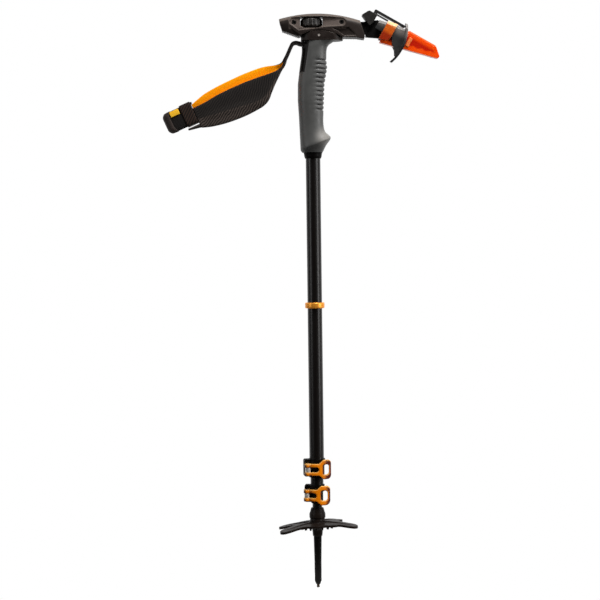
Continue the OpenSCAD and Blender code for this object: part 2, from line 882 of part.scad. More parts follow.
module strap_keeper() {
    inner = fold_out + 0.2;
    run = keeper_s1 - keeper_s0;
    color("#171515")
        in_strap_end()
            difference() {
                translate([keeper_s0, -inner - keeper_wall, -fold_half - 2])
                    cube([run, 2 * (inner + keeper_wall), 2 * fold_half + 4]);
                translate([keeper_s0 - 1, -inner, -fold_half - 0.4])
                    cube([run + 2, 2 * inner, 2 * fold_half + 0.8]);
            }
}

module strap_tab() {
    color("#ff9d12")
        in_strap_end()
            translate([7.4, -fold_out - 0.95, 4.8])
                cube([12.6, 0.9, 7]);
}

// Lever locks: a split clamp, a barrel on the tension screw, and a lever that turns on the barrel.
lever_drop = -1;
ear_over = 7.4;
eye_r = barrel_d / 2 + 1.75;
strip_x = 1;

function pivot(r) = [-r - 3.9, -r + 0.2];
function ear_face(r) = pivot(r)[1] + eye_r + cam_throw + 0.05;

module lock_clamp(outer_r, inner_r) {
    ear_back = 4.4;
    front = ear_face(outer_r);
    edge = 2;
    difference() {
        union() {
            rod_z(outer_r + clamp_wall, lock_h / 2 - clamp_seat - 2, lock_h / 2);
            rod_z(inner_r + clamp_wall, -lock_h / 2, lock_h / 2 - clamp_seat);
            translate([0, ear_back, 0])
                rotate([90, 0, 0])
                    linear_extrude(height = ear_back - front)
                        polygon(concat([[0, -lock_h / 2 + 1.4]],
                            arc(-outer_r - ear_over + edge, -lock_h / 2 + 1.4 + edge, edge, 270, 180, 4),
                            arc(-outer_r - ear_over + edge, lock_h / 2 - edge, edge, 180, 90, 4),
                            [[0, lock_h / 2]]));
        }
        rod_z(outer_r + seat_play, lock_h / 2 - clamp_seat, lock_h);
        rod_z(inner_r + slide_play, -lock_h, lock_h);
        translate([-40, -clamp_slit / 2, -lock_h])
            cube([40, clamp_slit, 2 * lock_h]);
        rod_y(pivot(outer_r)[0], lever_drop, -20, 20, tension_d / 2 + 0.2);
    }
}

// Front outline of the lever: two arms that open out into the finger loop.
module lever_face(r) {
    x0 = pivot(r)[0];
    x1 = lever_reach;
    half = loop_h / 2;
    arm = arm_h / 2;
    bend = 5;
    flare = half - arm;
    difference() {
        polygon(concat([[x0, -arm], [0.6, -arm]], arc(0.6 + flare + 1.4, -half + 1.4, 1.4, 225, 270, 3),
            arc(x1 - bend, -half + bend, bend, 270, 360, 6), arc(x1 - bend, half - bend, bend, 0, 90, 6),
            arc(0.6 + flare + 1.4, half - 1.4, 1.4, 90, 135, 3), [[0.6, arm], [x0, arm]]));
        polygon(concat([[x0 - 1, -arm_gap / 2]], arc(0.4 - arm_gap / 2, 0, arm_gap / 2, -90, 90, 8),
            [[x0 - 1, arm_gap / 2]]));
        polygon(concat(arc(7.4, -hole_h / 2 + 1.6, 1.6, 180, 270, 4),
            arc(x1 - 6.1, -hole_h / 2 + 3.2, 3.2, 270, 360, 5), arc(x1 - 6.1, hole_h / 2 - 3.2, 3.2, 0, 90, 5),
            arc(7.4, hole_h / 2 - 1.6, 1.6, 90, 180, 4)));
    }
}

module lock_lever(r) {
    p = pivot(r);
    inner = 2 * r + 2;
    mid_y = inner - r - clamp_wall - 0.9;
    color("#f58a1a")
        translate([0, 0, lever_drop])
            difference() {
                union() {
                    intersection() {
                        translate([strip_x, mid_y, 0])
                            sleeve(inner + lever_t, inner, -20, 20);
                        side(-40, 0)
                            lever_face(r);
                    }
                    intersection() {
                        translate([p[0], p[1] + cam_throw, 0])
                            rod_z(eye_r, -20, 20);
                        side(-40, 20)
                            polygon([[-40, -arm_h / 2], [-40, arm_h / 2], [20, arm_h / 2], [20, -arm_h / 2]]);
                    }
                }
                translate([p[0], p[1], 0])
                    rod_z(barrel_d / 2 + lever_play, -20, 20);
                translate([-40, -40, -arm_gap / 2])
                    cube([40 + p[0] + eye_r, 80, arm_gap]);
            }
}

module lock_barrel(r) {
    p = pivot(r);
    color("#c9c2ba")
        translate([p[0], p[1], lever_drop])
            difference() {
                union() {
                    rod_z(barrel_d / 2, -arm_h / 2 + 0.2, arm_h / 2 - 0.2);
                    rod_z(barrel_d / 2 + 0.9, -arm_gap / 2 + 0.2, arm_gap / 2 - 0.2);
                }
                rod_y(0, 0, -10, 10, tension_d / 2);
            }
}

module lock_screw(r) {
    p = pivot(r);
    color("#c9c2ba")
        difference() {
            union() {
                rod_y(p[0], lever_drop, p[1] - barrel_d / 2 - 1.2, 5, tension_d / 2 - 0.02);
                rod_y(p[0], lever_drop, 4.5, 7.4, 2.9);
            }
            translate([p[0], 7.4, lever_drop])
                rotate([90, 0, 0])
                    cylinder(h = 3, r = 1.5, $fn = 6, center = true);
        }
}

module at_upper_lock() {
    translate([0, 0, up_lock_z])
        rotate([0, 0, up_lock_turn])
            children();
}

module at_lower_lock() {
    translate([0, 0, low_lock_z])
        rotate([0, 0, low_lock_turn])
            children();
}

module upper_clamp() {
    color("#1c1b1b")
        at_upper_lock()
            lock_clamp(upper_r, middle_r);
}

module upper_lever() {
    at_upper_lock()
        lock_lever(upper_r);
}

module upper_barrel() {
    at_upper_lock()
        lock_barrel(upper_r);
}

module upper_tension_screw() {
    at_upper_lock()
        lock_screw(upper_r);
}

module lower_clamp() {
    color("#1c1b1b")
        at_lower_lock()
            lock_clamp(middle_r, lower_r);
}

module lower_lever() {
    at_lower_lock()
        lock_lever(middle_r);
}

module lower_barrel() {
    at_lower_lock()
        lock_barrel(middle_r);
}

module lower_tension_screw() {
    at_lower_lock()
        lock_screw(middle_r);
}

// Middle and lower sections, with their stops and the bush in the middle tube's mouth.
module middle_shaft() {
    color("#1a1817")
        sleeve(middle_r, middle_bore, middle_z0, middle_z0 + middle_len);
}

module middle_stop() {
    z1 = middle_z0 + middle_len;
    color("#2b2a29")
        union() {
            rod_z(middle_bore - seat_play, z1 - 16, z1);
            rod_z(middle_r, z1 + 0.05, z1 + 6);
            rod_z(middle_bore - 1, z1 - 1, z1 + 1);
        }
}

module guide_bush() {
    color("#2b2a29")
        sleeve(middle_bore - seat_play, lower_r + slide_play, middle_z0, middle_z0 + bush_len);
}

module lower_shaft() {
    color("#1a1817")
        sleeve(lower_r, lower_bore, lower_z0, lower_z0 + lower_len);
}

module lower_stop() {
    z1 = lower_z0 + lower_len;
    color("#2b2a29")
        union() {
            rod_z(lower_bore - seat_play, z1 - 16, z1);
            rod_z(middle_bore - slide_play, z1 + 0.05, z1 + 12);
            rod_z(lower_bore - 1, z1 - 1, z1 + 1);
        }
}

module ferrule() {
    point = tip_d / 2 + 0.9;
    color("#151313")
        difference() {
            rotate_extrude()
                polygon([[0, tip_show], [point, tip_show], [ferrule_r, tip_show + 4], [ferrule_r, tip_show + 28],
                    [seat_r, basket_z - 4], [seat_r, socket_z0], [socket_r, socket_z0],
                    [socket_r, collar_top_z - 2], [0, collar_top_z - 2]]);
            rod_z(tip_d / 2 - tip_step + 0.02, tip_show - 1, tip_show + 10);
            rod_z(lower_r + seat_play, lower_z0 - 0.1, collar_top_z);
        }
}

module carbide_tip() {
    r = tip_d / 2;
    shank_r = r - tip_step;
    color("#8d8a86")
        rotate_extrude()
            polygon([[0, 0.7], [r - 0.5, 0], [r, 0], [r, tip_show - 0.02], [shank_r, tip_show - 0.02],
                [shank_r, tip_show + 9.8], [0, tip_show + 9.8]]);
}

// Four-lobe basket: a drooping dish trimmed to the lobes, with a rib on each and teeth under the web.
dish_r0 = 9;
hub_r = 9.4;
lobe_at = [-155, 161, 57, -14];
tooth_r = 21;
plate_z = basket_z + 16;
function dish_z(r) = plate_z - basket_drop * pow(max(r - dish_r0, 0) / (basket_d / 2 - dish_r0), 1.6);

// Distance to a lobe's edge at an angle from its middle.
function lobe_edge(away) =
    let (w = lobe_w / 2, at = basket_d / 2 - w, d = min(abs(away), 89))
    d < atan(w / at) ? at * cos(d) + sqrt(w * w - pow(at * sin(d), 2)) : w / sin(d);
function turn_between(a, b) = abs(((a - b) % 360 + 540) % 360 - 180);
function web_r(a) = notch_r + (front_r - notch_r) * (1 - ease((turn_between(a, -90) - 25) / 30));
function plate_r(a) =
    let (p = 14, parts = concat([web_r(a)],
        [for (l = lobe_at) let (d = turn_between(a, l)) d < 80 ? lobe_edge(d) : 0]))
    min(basket_d / 2, pow([for (q = parts) pow(q / 30, p)] * [1, 1, 1, 1, 1], 1 / p) * 30);

module plate_outline() {
    polygon([for (a = [0:3.75:359]) plate_r(a) * [cos(a), sin(a)]]);
}

module basket_plate() {
    steps = [0:8];
    span = basket_d / 2 + 1 - dish_r0 + 1;
    intersection() {
        rotate_extrude()
            polygon(concat([for (i = steps) let (r = dish_r0 - 1 + span * i / 8) [r, dish_z(r)]],
                [for (i = steps) let (r = dish_r0 - 1 + span * (8 - i) / 8) [r, dish_z(r) - basket_t]]));
        translate([0, 0, basket_z - 10])
            linear_extrude(height = 40)
                plate_outline();
    }
    for (a = lobe_at)
        rotate([0, 0, a])
            basket_rib(basket_d / 2 - lobe_w / 2);
    for (i = [0:17])
        rotate([0, 0, 20 * i + 5])
            basket_tooth();
}

module basket() {
    bore = seat_r + seat_play;
    color("#2d2927")
        difference() {
            union() {
                translate([0, 0, plate_z])
                    rotate([0, -basket_tilt, 0])
                        translate([0, 0, -plate_z])
                            basket_plate();
                rotate_extrude()
                    polygon([[bore, basket_z - 1], [seat_r + 1, basket_z - 1], [seat_r + 1.7, basket_z + 7],
                        [hub_r, basket_z + 12], [hub_r, hub_top_z - 2.2], [hub_r + 0.9, hub_top_z - 2.2],
                        [hub_r + 0.9, hub_top_z - 0.2], [bore, hub_top_z - 0.2]]);
            }
            rod_z(bore, basket_z - 10, hub_top_z + 10);
        }
}

module basket_tooth() {
    z = dish_z(tooth_r) - basket_t;
    translate([tooth_r - 1.5, 0, z])
        rotate([90, 0, 90])
            linear_extrude(height = 3)
                polygon([[-1.7, 0.6], [1.7, 0.6], [0.4, -3.4], [-0.4, -3.4]]);
}

module basket_rib(r1) {
    r0 = hub_r + 0.4;
    rotate([90, 0, 0])
        linear_extrude(height = 2.4, center = true)
            polygon(concat([for (i = [0:5]) let (r = r0 + (r1 - r0) * i / 5) [r, dish_z(r) + 1.4 * (1 - i / 6)]],
                [for (i = [0:5]) let (r = r1 + (r0 - r1) * i / 5) [r, dish_z(r) - 1]]));
}

module basket_collar() {
    z0 = hub_top_z;
    z1 = collar_top_z;
    color("#2d2927")
        difference() {
            rotate_extrude()
                polygon([[lower_r + 0.3, z0], [hub_r - 0.1, z0], [hub_r - 0.1, z0 + 3.4], [hub_r - 0.5, z0 + 4.2],
                    [hub_r + 0.6, z0 + 5], [hub_r + 0.6, z0 + 9.6], [hub_r - 0.4, z1 - 4.6], [socket_r + 0.5, z1 - 0.8],
                    [socket_r, z1], [lower_r + 0.3, z1]]);
            rod_z(socket_r + seat_play, z0 - 1, z1 - 1.8);
        }
}

upper_shaft();
shaft_ring();
grip();
grip_collar();
grip_flange();
strap_wedge();
strap_pin();
flange_pin();
head_stud();
head_shell_near();
head_shell_far();
head_screw_front();
head_screw_rear();
head_nut_front();
head_nut_rear();
pick();
thumbwheel();
wheel_insert();
pick_sheath();
sheath_band();
sheath_clip();
retainer_strap();
retainer_block();
strap_neck();
strap_pad_near();
strap_pad_far();
strap_lining_near();
strap_lining_far();
strap_end_fold();
strap_keeper();
strap_tab();
upper_clamp();
upper_lever();
upper_barrel();
upper_tension_screw();
lower_clamp();
lower_lever();
lower_barrel();
lower_tension_screw();
middle_shaft();
middle_stop();
guide_bush();
lower_shaft();
lower_stop();
ferrule();
carbide_tip();
basket();
basket_collar();
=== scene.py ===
# %% [markdown]
# # A collapsed self-arrest ski pole
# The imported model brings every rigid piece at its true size, so this lesson only adds what a
# rigid model lacks: finishes on each surface, and the soft wrist strap as a real twisted loop.
# One unit is one metre. Sizes on the pole are written in millimetres, and those of the room in
# metres. +Z runs up the pole, +X towards the pick, and the camera stands on -Y.

# %% Load the frame
import json
import math

import bmesh
import bpy
from mathutils import Matrix, Vector


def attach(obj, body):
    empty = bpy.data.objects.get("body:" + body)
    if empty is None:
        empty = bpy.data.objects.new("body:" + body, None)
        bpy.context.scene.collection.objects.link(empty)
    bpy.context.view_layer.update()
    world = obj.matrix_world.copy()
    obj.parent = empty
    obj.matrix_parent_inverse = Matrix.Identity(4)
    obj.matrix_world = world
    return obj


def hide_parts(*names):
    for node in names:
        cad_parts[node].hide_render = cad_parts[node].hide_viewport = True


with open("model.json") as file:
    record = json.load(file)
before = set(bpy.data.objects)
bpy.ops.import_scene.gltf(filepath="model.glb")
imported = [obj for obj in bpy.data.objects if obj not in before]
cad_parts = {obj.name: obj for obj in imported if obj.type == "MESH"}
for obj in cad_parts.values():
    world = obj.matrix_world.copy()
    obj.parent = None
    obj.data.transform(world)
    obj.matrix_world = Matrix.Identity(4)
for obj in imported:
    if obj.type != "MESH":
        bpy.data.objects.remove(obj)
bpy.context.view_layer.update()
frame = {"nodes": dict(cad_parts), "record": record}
nodes = frame["nodes"]
MM = 0.001
scene = bpy.context.scene

# %% [markdown]
# ## Camera
# The photograph was taken from the side, with the basket seen a little from above and the head
# almost level, so the camera stands slightly above the middle and looks down by 2.5 degrees. The
# image is square and spans 744 mm at the pole. The pole leans a little to the left in it, and that
# is a roll of the camera, not a lean of the pole. A lens length follows from the distance.

# %% Camera
VIEW_CENTRE = Vector((-18.3, 0, 359.3)) * MM
VIEW_SPAN = 743.8 * MM
VIEW_DISTANCE = 2.0
VIEW_DOWN = math.radians(2.5)
VIEW_ROLL = math.radians(-0.733)
SENSOR_MM = 36

camera_data = bpy.data.cameras.new("camera")
camera_data.sensor_width = SENSOR_MM
camera_data.lens = SENSOR_MM * VIEW_DISTANCE / VIEW_SPAN
camera = bpy.data.objects.new("camera", camera_data)
camera.matrix_world = (
    Matrix.Translation(VIEW_CENTRE)
    @ Matrix.Rotation(math.radians(90) - VIEW_DOWN, 4, "X")
    @ Matrix.Rotation(VIEW_ROLL, 4, "Z")
    @ Matrix.Translation((0, 0, VIEW_DISTANCE))
)
scene.collection.objects.link(camera)
scene.camera = camera
print("lens", round(camera_data.lens, 1), "mm")

# %% [markdown]
# ## A helper for shader nodes
# Every finish below is a small graph of nodes. One function adds a node, sets its properties and
# fills its sockets, from a plain value or from another node's output. A second one turns the hex
# colours that designers write into the linear values that a shader works in. Nodes could also be
# wired by hand in the editor, but in a script each graph can be read and changed in a few lines.


# %% Nodes and colours
def add(tree, kind, inputs=None, **settings):
    made = tree.nodes.new(kind)
    for key, value in settings.items():
        setattr(made, key, value)
    for key, value in (inputs or {}).items():
        if isinstance(value, bpy.types.NodeSocket):
            tree.links.new(value, made.inputs[key])
        else:
            made.inputs[key].default_value = value
    return made


def linear(hex_code):
    channels = [int(hex_code[i : i + 2], 16) / 255 for i in (1, 3, 5)]
    return [
        c / 12.92 if c <= 0.04045 else ((c + 0.055) / 1.055) ** 2.4 for c in channels
    ] + [1.0]


def per_mm(size_mm):
    return 1 / (size_mm * MM)


# The colour sockets of a Mix node have no names of their own.
MIX_A, MIX_B, MIX_OUT = 6, 7, 2
print("nodes ready, a warm black is", linear("#161413")[:3])

# %% [markdown]
# ## The look that most finishes share
# A moulded or anodised surface is never one flat colour. Its tone drifts over a few millimetres,
# its gloss drifts with it, and a fine grain breaks up the highlights. A photograph or a painted
# image could give that, but noise textures keep it sharp at any distance. So one function starts
# a finish and lays those three over its shader: two tones, a range of roughness, and a grain with
# a size and a height in millimetres. A Bevel node rounds the edges for the eye only.

# %% Tone, gloss and grain
SHINE = "Specular IOR Level"
COLOUR = "Base Color"
NOISE_LOW, NOISE_HIGH = 0.3, 0.7  # most of the noise lies between these


def start_finish(name, **sockets):
    material = bpy.data.materials.new(name)
    material.use_nodes = True
    tree = material.node_tree
    tree.nodes.clear()
    shader = add(tree, "ShaderNodeBsdfPrincipled", sockets)
    add(tree, "ShaderNodeOutputMaterial", {"Surface": shader.outputs[0]})
    place = add(tree, "ShaderNodeTexCoord").outputs["Object"]
    return material, tree, shader, place


def surface(
    name, tones, drift_mm, rough, grain_mm, grain_height_mm, stretch=(1, 1, 1), round_mm=0.4, **sockets
):
    material, tree, shader, place = start_finish(name, **sockets)
    spread = add(tree, "ShaderNodeMapping", {"Vector": place, "Scale": stretch}).outputs[0]
    drift = add(
        tree,
        "ShaderNodeTexNoise",
        {"Vector": spread, "Scale": per_mm(drift_mm), "Detail": 5.0, "Roughness": 0.6},
    ).outputs["Fac"]
    tone = add(
        tree,
        "ShaderNodeMix",
        {0: drift, MIX_A: linear(tones[0]), MIX_B: linear(tones[1])},
        data_type="RGBA",
    ).outputs[MIX_OUT]
    gloss = add(
        tree,
        "ShaderNodeMapRange",
        {"Value": drift, 1: NOISE_LOW, 2: NOISE_HIGH, 3: rough[0], 4: rough[1]},
    )
    grain = add(
        tree, "ShaderNodeTexNoise", {"Vector": spread, "Scale": per_mm(grain_mm), "Detail": 3.0}
    )
    rounded = add(tree, "ShaderNodeBevel", {"Radius": round_mm * MM}, samples=6)
    bump = add(
        tree,
        "ShaderNodeBump",
        {
            "Height": grain.outputs["Fac"],
            "Distance": grain_height_mm * MM,
            "Strength": 0.6,
            "Normal": rounded.outputs[0],
        },
    )
    tree.links.new(tone, shader.inputs[COLOUR])
    tree.links.new(gloss.outputs[0], shader.inputs["Roughness"])
    tree.links.new(bump.outputs[0], shader.inputs["Normal"])
    return material, tree, shader, place, tone


print("shared look ready")

# %% [markdown]
# ## Zones, worn edges and painted light
# Some pieces change tone in places: a painted shade in a groove, a moulded panel, a worn edge, a painted
# highlight on an edge. The CAD faces don't end where the tones do, so a second material per face can't draw
# them. Instead a tone is laid over another where the place on the piece is within some limits, each with a
# soft start.
# For edges, the Bevel node tells how far the surface bends there and which way it leans. That is
# read in the piece's own frame, so a tone stays on its edge when the piece turns.


# %% Zone and edge tools
def in_mm(tree, place):
    """The place along X, Y and Z, in millimetres."""
    scaled = add(tree, "ShaderNodeVectorMath", {0: place, "Scale": per_mm(1)}, operation="SCALE")
    axes = add(tree, "ShaderNodeSeparateXYZ", {0: scaled.outputs[0]})
    return axes.outputs["X"], axes.outputs["Y"], axes.outputs["Z"]


def lay_over(tree, under, hex_code, limits, ramp="SMOOTHSTEP"):
    """Lay a tone over another within limits: (value, where it starts, where it is full).

    Gives the colour, and how far the place is within the limits."""
    within = 1.0
    for value, start, full in limits:
        held = add(
            tree, "ShaderNodeMapRange", {"Value": value, 1: start, 2: full}, interpolation_type=ramp
        )
        both = add(tree, "ShaderNodeMath", {0: within, 1: held.outputs[0]}, operation="MULTIPLY")
        within = both.outputs[0]
    over = add(
        tree, "ShaderNodeMix", {0: within, MIX_A: under, MIX_B: linear(hex_code)}, data_type="RGBA"
    )
    return over.outputs[MIX_OUT], within


# The edge tone is wear on some pieces, and a painted pale rim of light on the clear plastics.
EDGE_BEND = (0.97, 0.80)  # the cosine of the bend where wear starts, and where it is full


def edge_wear_and_light(tree, tone, edge_tone_hex, reach_mm, amount):
    """Another tone shows where a surface bends at its edges: wear where handling rubs it, and a painted pale
    rim of light on the clear plastics.
    """
    flat = add(tree, "ShaderNodeNewGeometry")
    rounded = add(tree, "ShaderNodeBevel", {"Radius": reach_mm * MM}, samples=4)
    bend = add(
        tree,
        "ShaderNodeVectorMath",
        {0: rounded.outputs[0], 1: flat.outputs["Normal"]},
        operation="DOT_PRODUCT",
    )
    edge = add(
        tree,
        "ShaderNodeMapRange",
        {"Value": bend.outputs["Value"], 1: EDGE_BEND[0], 2: EDGE_BEND[1], 3: 0.0, 4: amount},
    )
    worn = add(
        tree,
        "ShaderNodeMix",
        {0: edge.outputs[0], MIX_A: tone, MIX_B: linear(edge_tone_hex)},
        data_type="RGBA",
    )
    return worn.outputs[MIX_OUT]


def edge_lean(tree, reach_mm):
    """Which way a softened edge leans, along the piece's own X, Y and Z."""
    rounded = add(tree, "ShaderNodeBevel", {"Radius": reach_mm * MM}, samples=6)
    own = add(
        tree,
        "ShaderNodeVectorTransform",
        {0: rounded.outputs[0]},
        vector_type="NORMAL",
        convert_from="WORLD",
        convert_to="OBJECT",
    )
    return add(tree, "ShaderNodeSeparateXYZ", {0: own.outputs[0]}).outputs


print("zone and edge tools ready")

# %% [markdown]
# ## Tubes and small hardware
# The tubes are drawn aluminium with a black anodised skin. Drawing leaves faint streaks along the
# tube, so their noise is stretched along Z. Barrels, screws and the insert are turned on a lathe,
# which leaves fine rings, so theirs is squeezed along Z. The pick is forged and blackened. An image
# of brushed metal would need a seam somewhere round a tube, and noise has none.

# %% Anodised, turned and blackened metal
FINISHES = {}
ALONG_TUBE = (1, 1, 0.04)
TURNED = (1, 1, 6)

# Deep black with a satin skin, so the soft boxes show as two long pale lines.
FINISHES["shaft"] = surface(
    "black_anodised_tube", ("#0a0706", "#130f0d"), 6, (0.28, 0.38), 0.5, 0.01, ALONG_TUBE, **{SHINE: 0.36}
)[0]

# Pale warm grey that glints. A full metal would mirror the dim room and look dark, so it is part metal.
FINISHES["steel"] = surface(
    "turned_steel", ("#cfc6bd", "#e6dfd8"), 2, (0.24, 0.40), 0.25, 0.01, TURNED, **{"Metallic": 0.45}
)[0]

# A soft yellow glint inside the wheel.
FINISHES["brass"] = surface(
    "turned_brass", ("#b0894a", "#c9a666"), 2, (0.22, 0.36), 0.25, 0.01, TURNED, **{"Metallic": 1.0}
)[0]

# Dark brownish grey, ground to a dull glint.
FINISHES["carbide"] = surface(
    "ground_carbide", ("#2a231d", "#3e352c"), 1.5, (0.30, 0.46), 0.2, 0.01, **{"Metallic": 1.0}
)[0]

# Almost black and dull, with greyer edges where the oxide has rubbed off.
material, tree, shader, _, tone = surface(
    "blackened_steel", ("#0f0d0c", "#1c1918"), 3, (0.4, 0.55), 0.3, 0.015, **{"Metallic": 0.6}
)
tree.links.new(edge_wear_and_light(tree, tone, "#3a3532", 0.3, 0.5), shader.inputs[COLOUR])
FINISHES["dark_steel"] = material
print("metals:", sorted(FINISHES))

# %% [markdown]
# ## Orange levers and ring
# The levers are forged aluminium, anodised orange. Their flanks carry a painted brown shade, the
# edges that lean up a painted golden highlight, and the flat faces the plain orange. The ring is
# the same dye on turned aluminium. A full metal would mirror the dim room and go brown all over,
# so the dye is drawn as a satin coat, and the ring as half metal.

# %% Orange anodised aluminium
LEVER_EDGE = 3.0
# How far a flank turns from the flat side, and how far it leans up, each from its start to full.
FLANK = (0.955, 0.80)
NOT_UP = (0.35, 0.1)
LEANS_UP = (0.15, 0.4)

# Warm satin orange, with a painted brown shade on the flanks and a painted golden highlight on the upper
# edges.
material, tree, shader, _, tone = surface(
    "orange_anodised_aluminium",
    ("#ff7e00", "#ff9608"),
    5,
    (0.26, 0.38),
    0.35,
    0.006,
    round_mm=2.4,
    **{SHINE: 0.2},
)
lean = edge_lean(tree, LEVER_EDGE)
side = add(tree, "ShaderNodeMath", {0: lean["Y"]}, operation="ABSOLUTE").outputs[0]
# Painted shade on the flanks that don't lean up, then a painted highlight on those that do.
tone, _ = lay_over(tree, tone, "#581802", [(side, *FLANK), (lean["Z"], *NOT_UP)])
tone, _ = lay_over(tree, tone, "#ffc060", [(side, *FLANK), (lean["Z"], *LEANS_UP)])
tree.links.new(tone, shader.inputs[COLOUR])
FINISHES["orange_metal"] = material

# Golder than the levers, with a streak of light on one side.
FINISHES["ring_metal"] = surface(
    "orange_anodised_ring",
    ("#ff9826", "#ffb03c"),
    20,
    (0.36, 0.4),
    0.35,
    0.0005,
    round_mm=0.9,
    **{"Metallic": 0.5},
)[0]
print("levers and ring ready")

# %% [markdown]
# ## Grip rubber
# The grip is soft rubber moulded in a blasted tool, so it is grey, dull and finely pebbled. The
# real pebbles are about 0.3 mm, too fine to show at this distance, so they are drawn 0.9 mm wide.
# As real bumps in the mesh they would take millions of faces, so a Bump node bends the light.

# %% Grip rubber
RUBBER_GRAIN = 0.9

# Mid grey with a broad soft sheen.
material, tree, shader, place, tone = surface(
    "pebbled_grip_rubber", ("#414140", "#4e4e4c"), 7, (0.45, 0.57), RUBBER_GRAIN, 0.06, **{SHINE: 0.6}
)
x, _, z = in_mm(tree, place)
FINISHES["grip_rubber"] = material
print("grip rubber ready")

# %% [markdown]
# Each finger groove has a painted shade along its middle, a dark line set a little high, where the
# groove's upper wall shades it. Each line could be a zone of its own, but the grooves repeat evenly
# up the front of the grip, so one Ping-Pong of the height gives the distance to the nearest.

# %% Painted shade in the finger grooves
GROOVE_Z = (593.6, 654.2)
GROOVE_PITCH = 5.51
GROOVE_X = (4.6, 5.4)
GROOVE_SHADE_RAISED = 0.4
GROOVE_SHADE_WIDE = (1.0, 0.4)
GROOVE_SHADE_PAST = (2.0, 1.5)  # how far it goes past the outer grooves

height = add(tree, "ShaderNodeMath", {0: z, 1: GROOVE_Z[0] + GROOVE_SHADE_RAISED}, operation="SUBTRACT")
off_groove = add(tree, "ShaderNodeMath", {0: height.outputs[0], 1: GROOVE_PITCH / 2}, operation="PINGPONG")
in_grooves = [
    (off_groove.outputs[0], *GROOVE_SHADE_WIDE),
    (x, *GROOVE_X),
    (z, GROOVE_Z[0] - GROOVE_SHADE_PAST[0], GROOVE_Z[0] - GROOVE_SHADE_PAST[1]),
    (z, GROOVE_Z[1] + GROOVE_SHADE_PAST[0], GROOVE_Z[1] + GROOVE_SHADE_PAST[1]),
]
# Painted shade: a dark line in each groove.
tone, _ = lay_over(tree, tone, "#171615", in_grooves, ramp="LINEAR")
print("grooves:", round((GROOVE_Z[1] - GROOVE_Z[0]) / GROOVE_PITCH) + 1)

# %% [markdown]
# The lip at the grip's bottom carries a painted pale highlight, on both sides, so the
# distance to it leaves out Y. A black panel is moulded flush into the rear, around the wedge, and
# its front edge leans back downwards. It could be a solid of its own, but it is flush, so a tone on
# the rubber is enough. It is dull, so it shows no sheen from the side.

# %% Painted highlight on the lip, and rear panel
LIP = Vector((15, 0, 560)) * MM
LIP_HIGHLIGHT_REACH = (17 * MM, 2 * MM)
PANEL_FOOT_X, PANEL_FOOT_Z = -9.2, 639.4
PANEL_LEAN = 0.165
PANEL_SOFT, FOOT_SOFT = 0.3, 0.4

no_depth = add(tree, "ShaderNodeVectorMath", {0: place, 1: (1, 0, 1)}, operation="MULTIPLY")
from_lip = add(tree, "ShaderNodeVectorMath", {0: no_depth.outputs[0], 1: LIP}, operation="DISTANCE")
# Painted highlight on the lip.
tone, _ = lay_over(tree, tone, "#7c7974", [(from_lip.outputs["Value"], *LIP_HIGHLIGHT_REACH)])

ahead = add(tree, "ShaderNodeMath", {0: z, 1: -PANEL_LEAN, 2: x}, operation="MULTIPLY_ADD").outputs[0]
panel_edge = PANEL_FOOT_X - PANEL_LEAN * PANEL_FOOT_Z
on_panel = [
    (ahead, panel_edge + PANEL_SOFT, panel_edge - PANEL_SOFT),
    (z, PANEL_FOOT_Z - FOOT_SOFT, PANEL_FOOT_Z + FOOT_SOFT),
]
tone, panel = lay_over(tree, tone, "#0e0a09", on_panel)
tree.links.new(tone, shader.inputs[COLOUR])

sheen = shader.inputs["Roughness"].links[0].from_socket
dulled = add(tree, "ShaderNodeMix", {0: panel, 2: sheen, 3: 1.0}, data_type="FLOAT")
tree.links.new(dulled.outputs[0], shader.inputs["Roughness"])
print("panel foot at", PANEL_FOOT_Z, "mm")

# %% [markdown]
# ## The head
# The head's two shells are glass-filled nylon: warm dark grey with a slight sheen. The floors of
# their side pockets carry painted light, so they look paler than the sides. Hands wear the
# edges, and those that lean up also carry a painted highlight, so they are the palest lines. Each
# shell is one moulding, so all of these are tones on one material.

# %% Head nylon
POCKET_FACE = (12.3, 11.6)
POCKET_Z, POCKET_SOFT = (691.5, 706.5), 0.6
POCKET_MIDDLE, POCKET_HALF = 7.0, (35.5, 34.5)
HEAD_EDGE = 1.4
HEAD_LEANS_UP, HEAD_NOT_TOP = (0.35, 0.6), (0.95, 0.85)

# Warm dark grey with painted light on the pocket floors, worn edges, and a painted highlight on the upper
# edges.
material, tree, shader, place, tone = surface(
    "warm_grey_nylon", ("#231d1b", "#2f2825"), 6, (0.38, 0.5), 0.6, 0.03, round_mm=1.6, **{SHINE: 0.12}
)
x, y, z = in_mm(tree, place)
depth = add(tree, "ShaderNodeMath", {0: y}, operation="ABSOLUTE")
off_middle = add(tree, "ShaderNodeMath", {0: x, 1: POCKET_MIDDLE}, operation="SUBTRACT")
apart = add(tree, "ShaderNodeMath", {0: off_middle.outputs[0]}, operation="ABSOLUTE")
in_pocket = [
    (depth.outputs[0], *POCKET_FACE),
    (z, POCKET_Z[0], POCKET_Z[0] + POCKET_SOFT),
    (z, POCKET_Z[1], POCKET_Z[1] - POCKET_SOFT),
    (apart.outputs[0], *POCKET_HALF),
]
# Painted light on the pocket floors.
tone, _ = lay_over(tree, tone, "#594f4a", in_pocket, ramp="LINEAR")
tone = edge_wear_and_light(tree, tone, "#63574f", 1.0, 0.5)
# Painted highlight on the edges that lean up.
up = edge_lean(tree, HEAD_EDGE)["Z"]
tone, _ = lay_over(tree, tone, "#5e544d", [(up, *HEAD_LEANS_UP), (up, *HEAD_NOT_TOP)])
tree.links.new(tone, shader.inputs[COLOUR])
FINISHES["head_plastic"] = material
print("head ready")

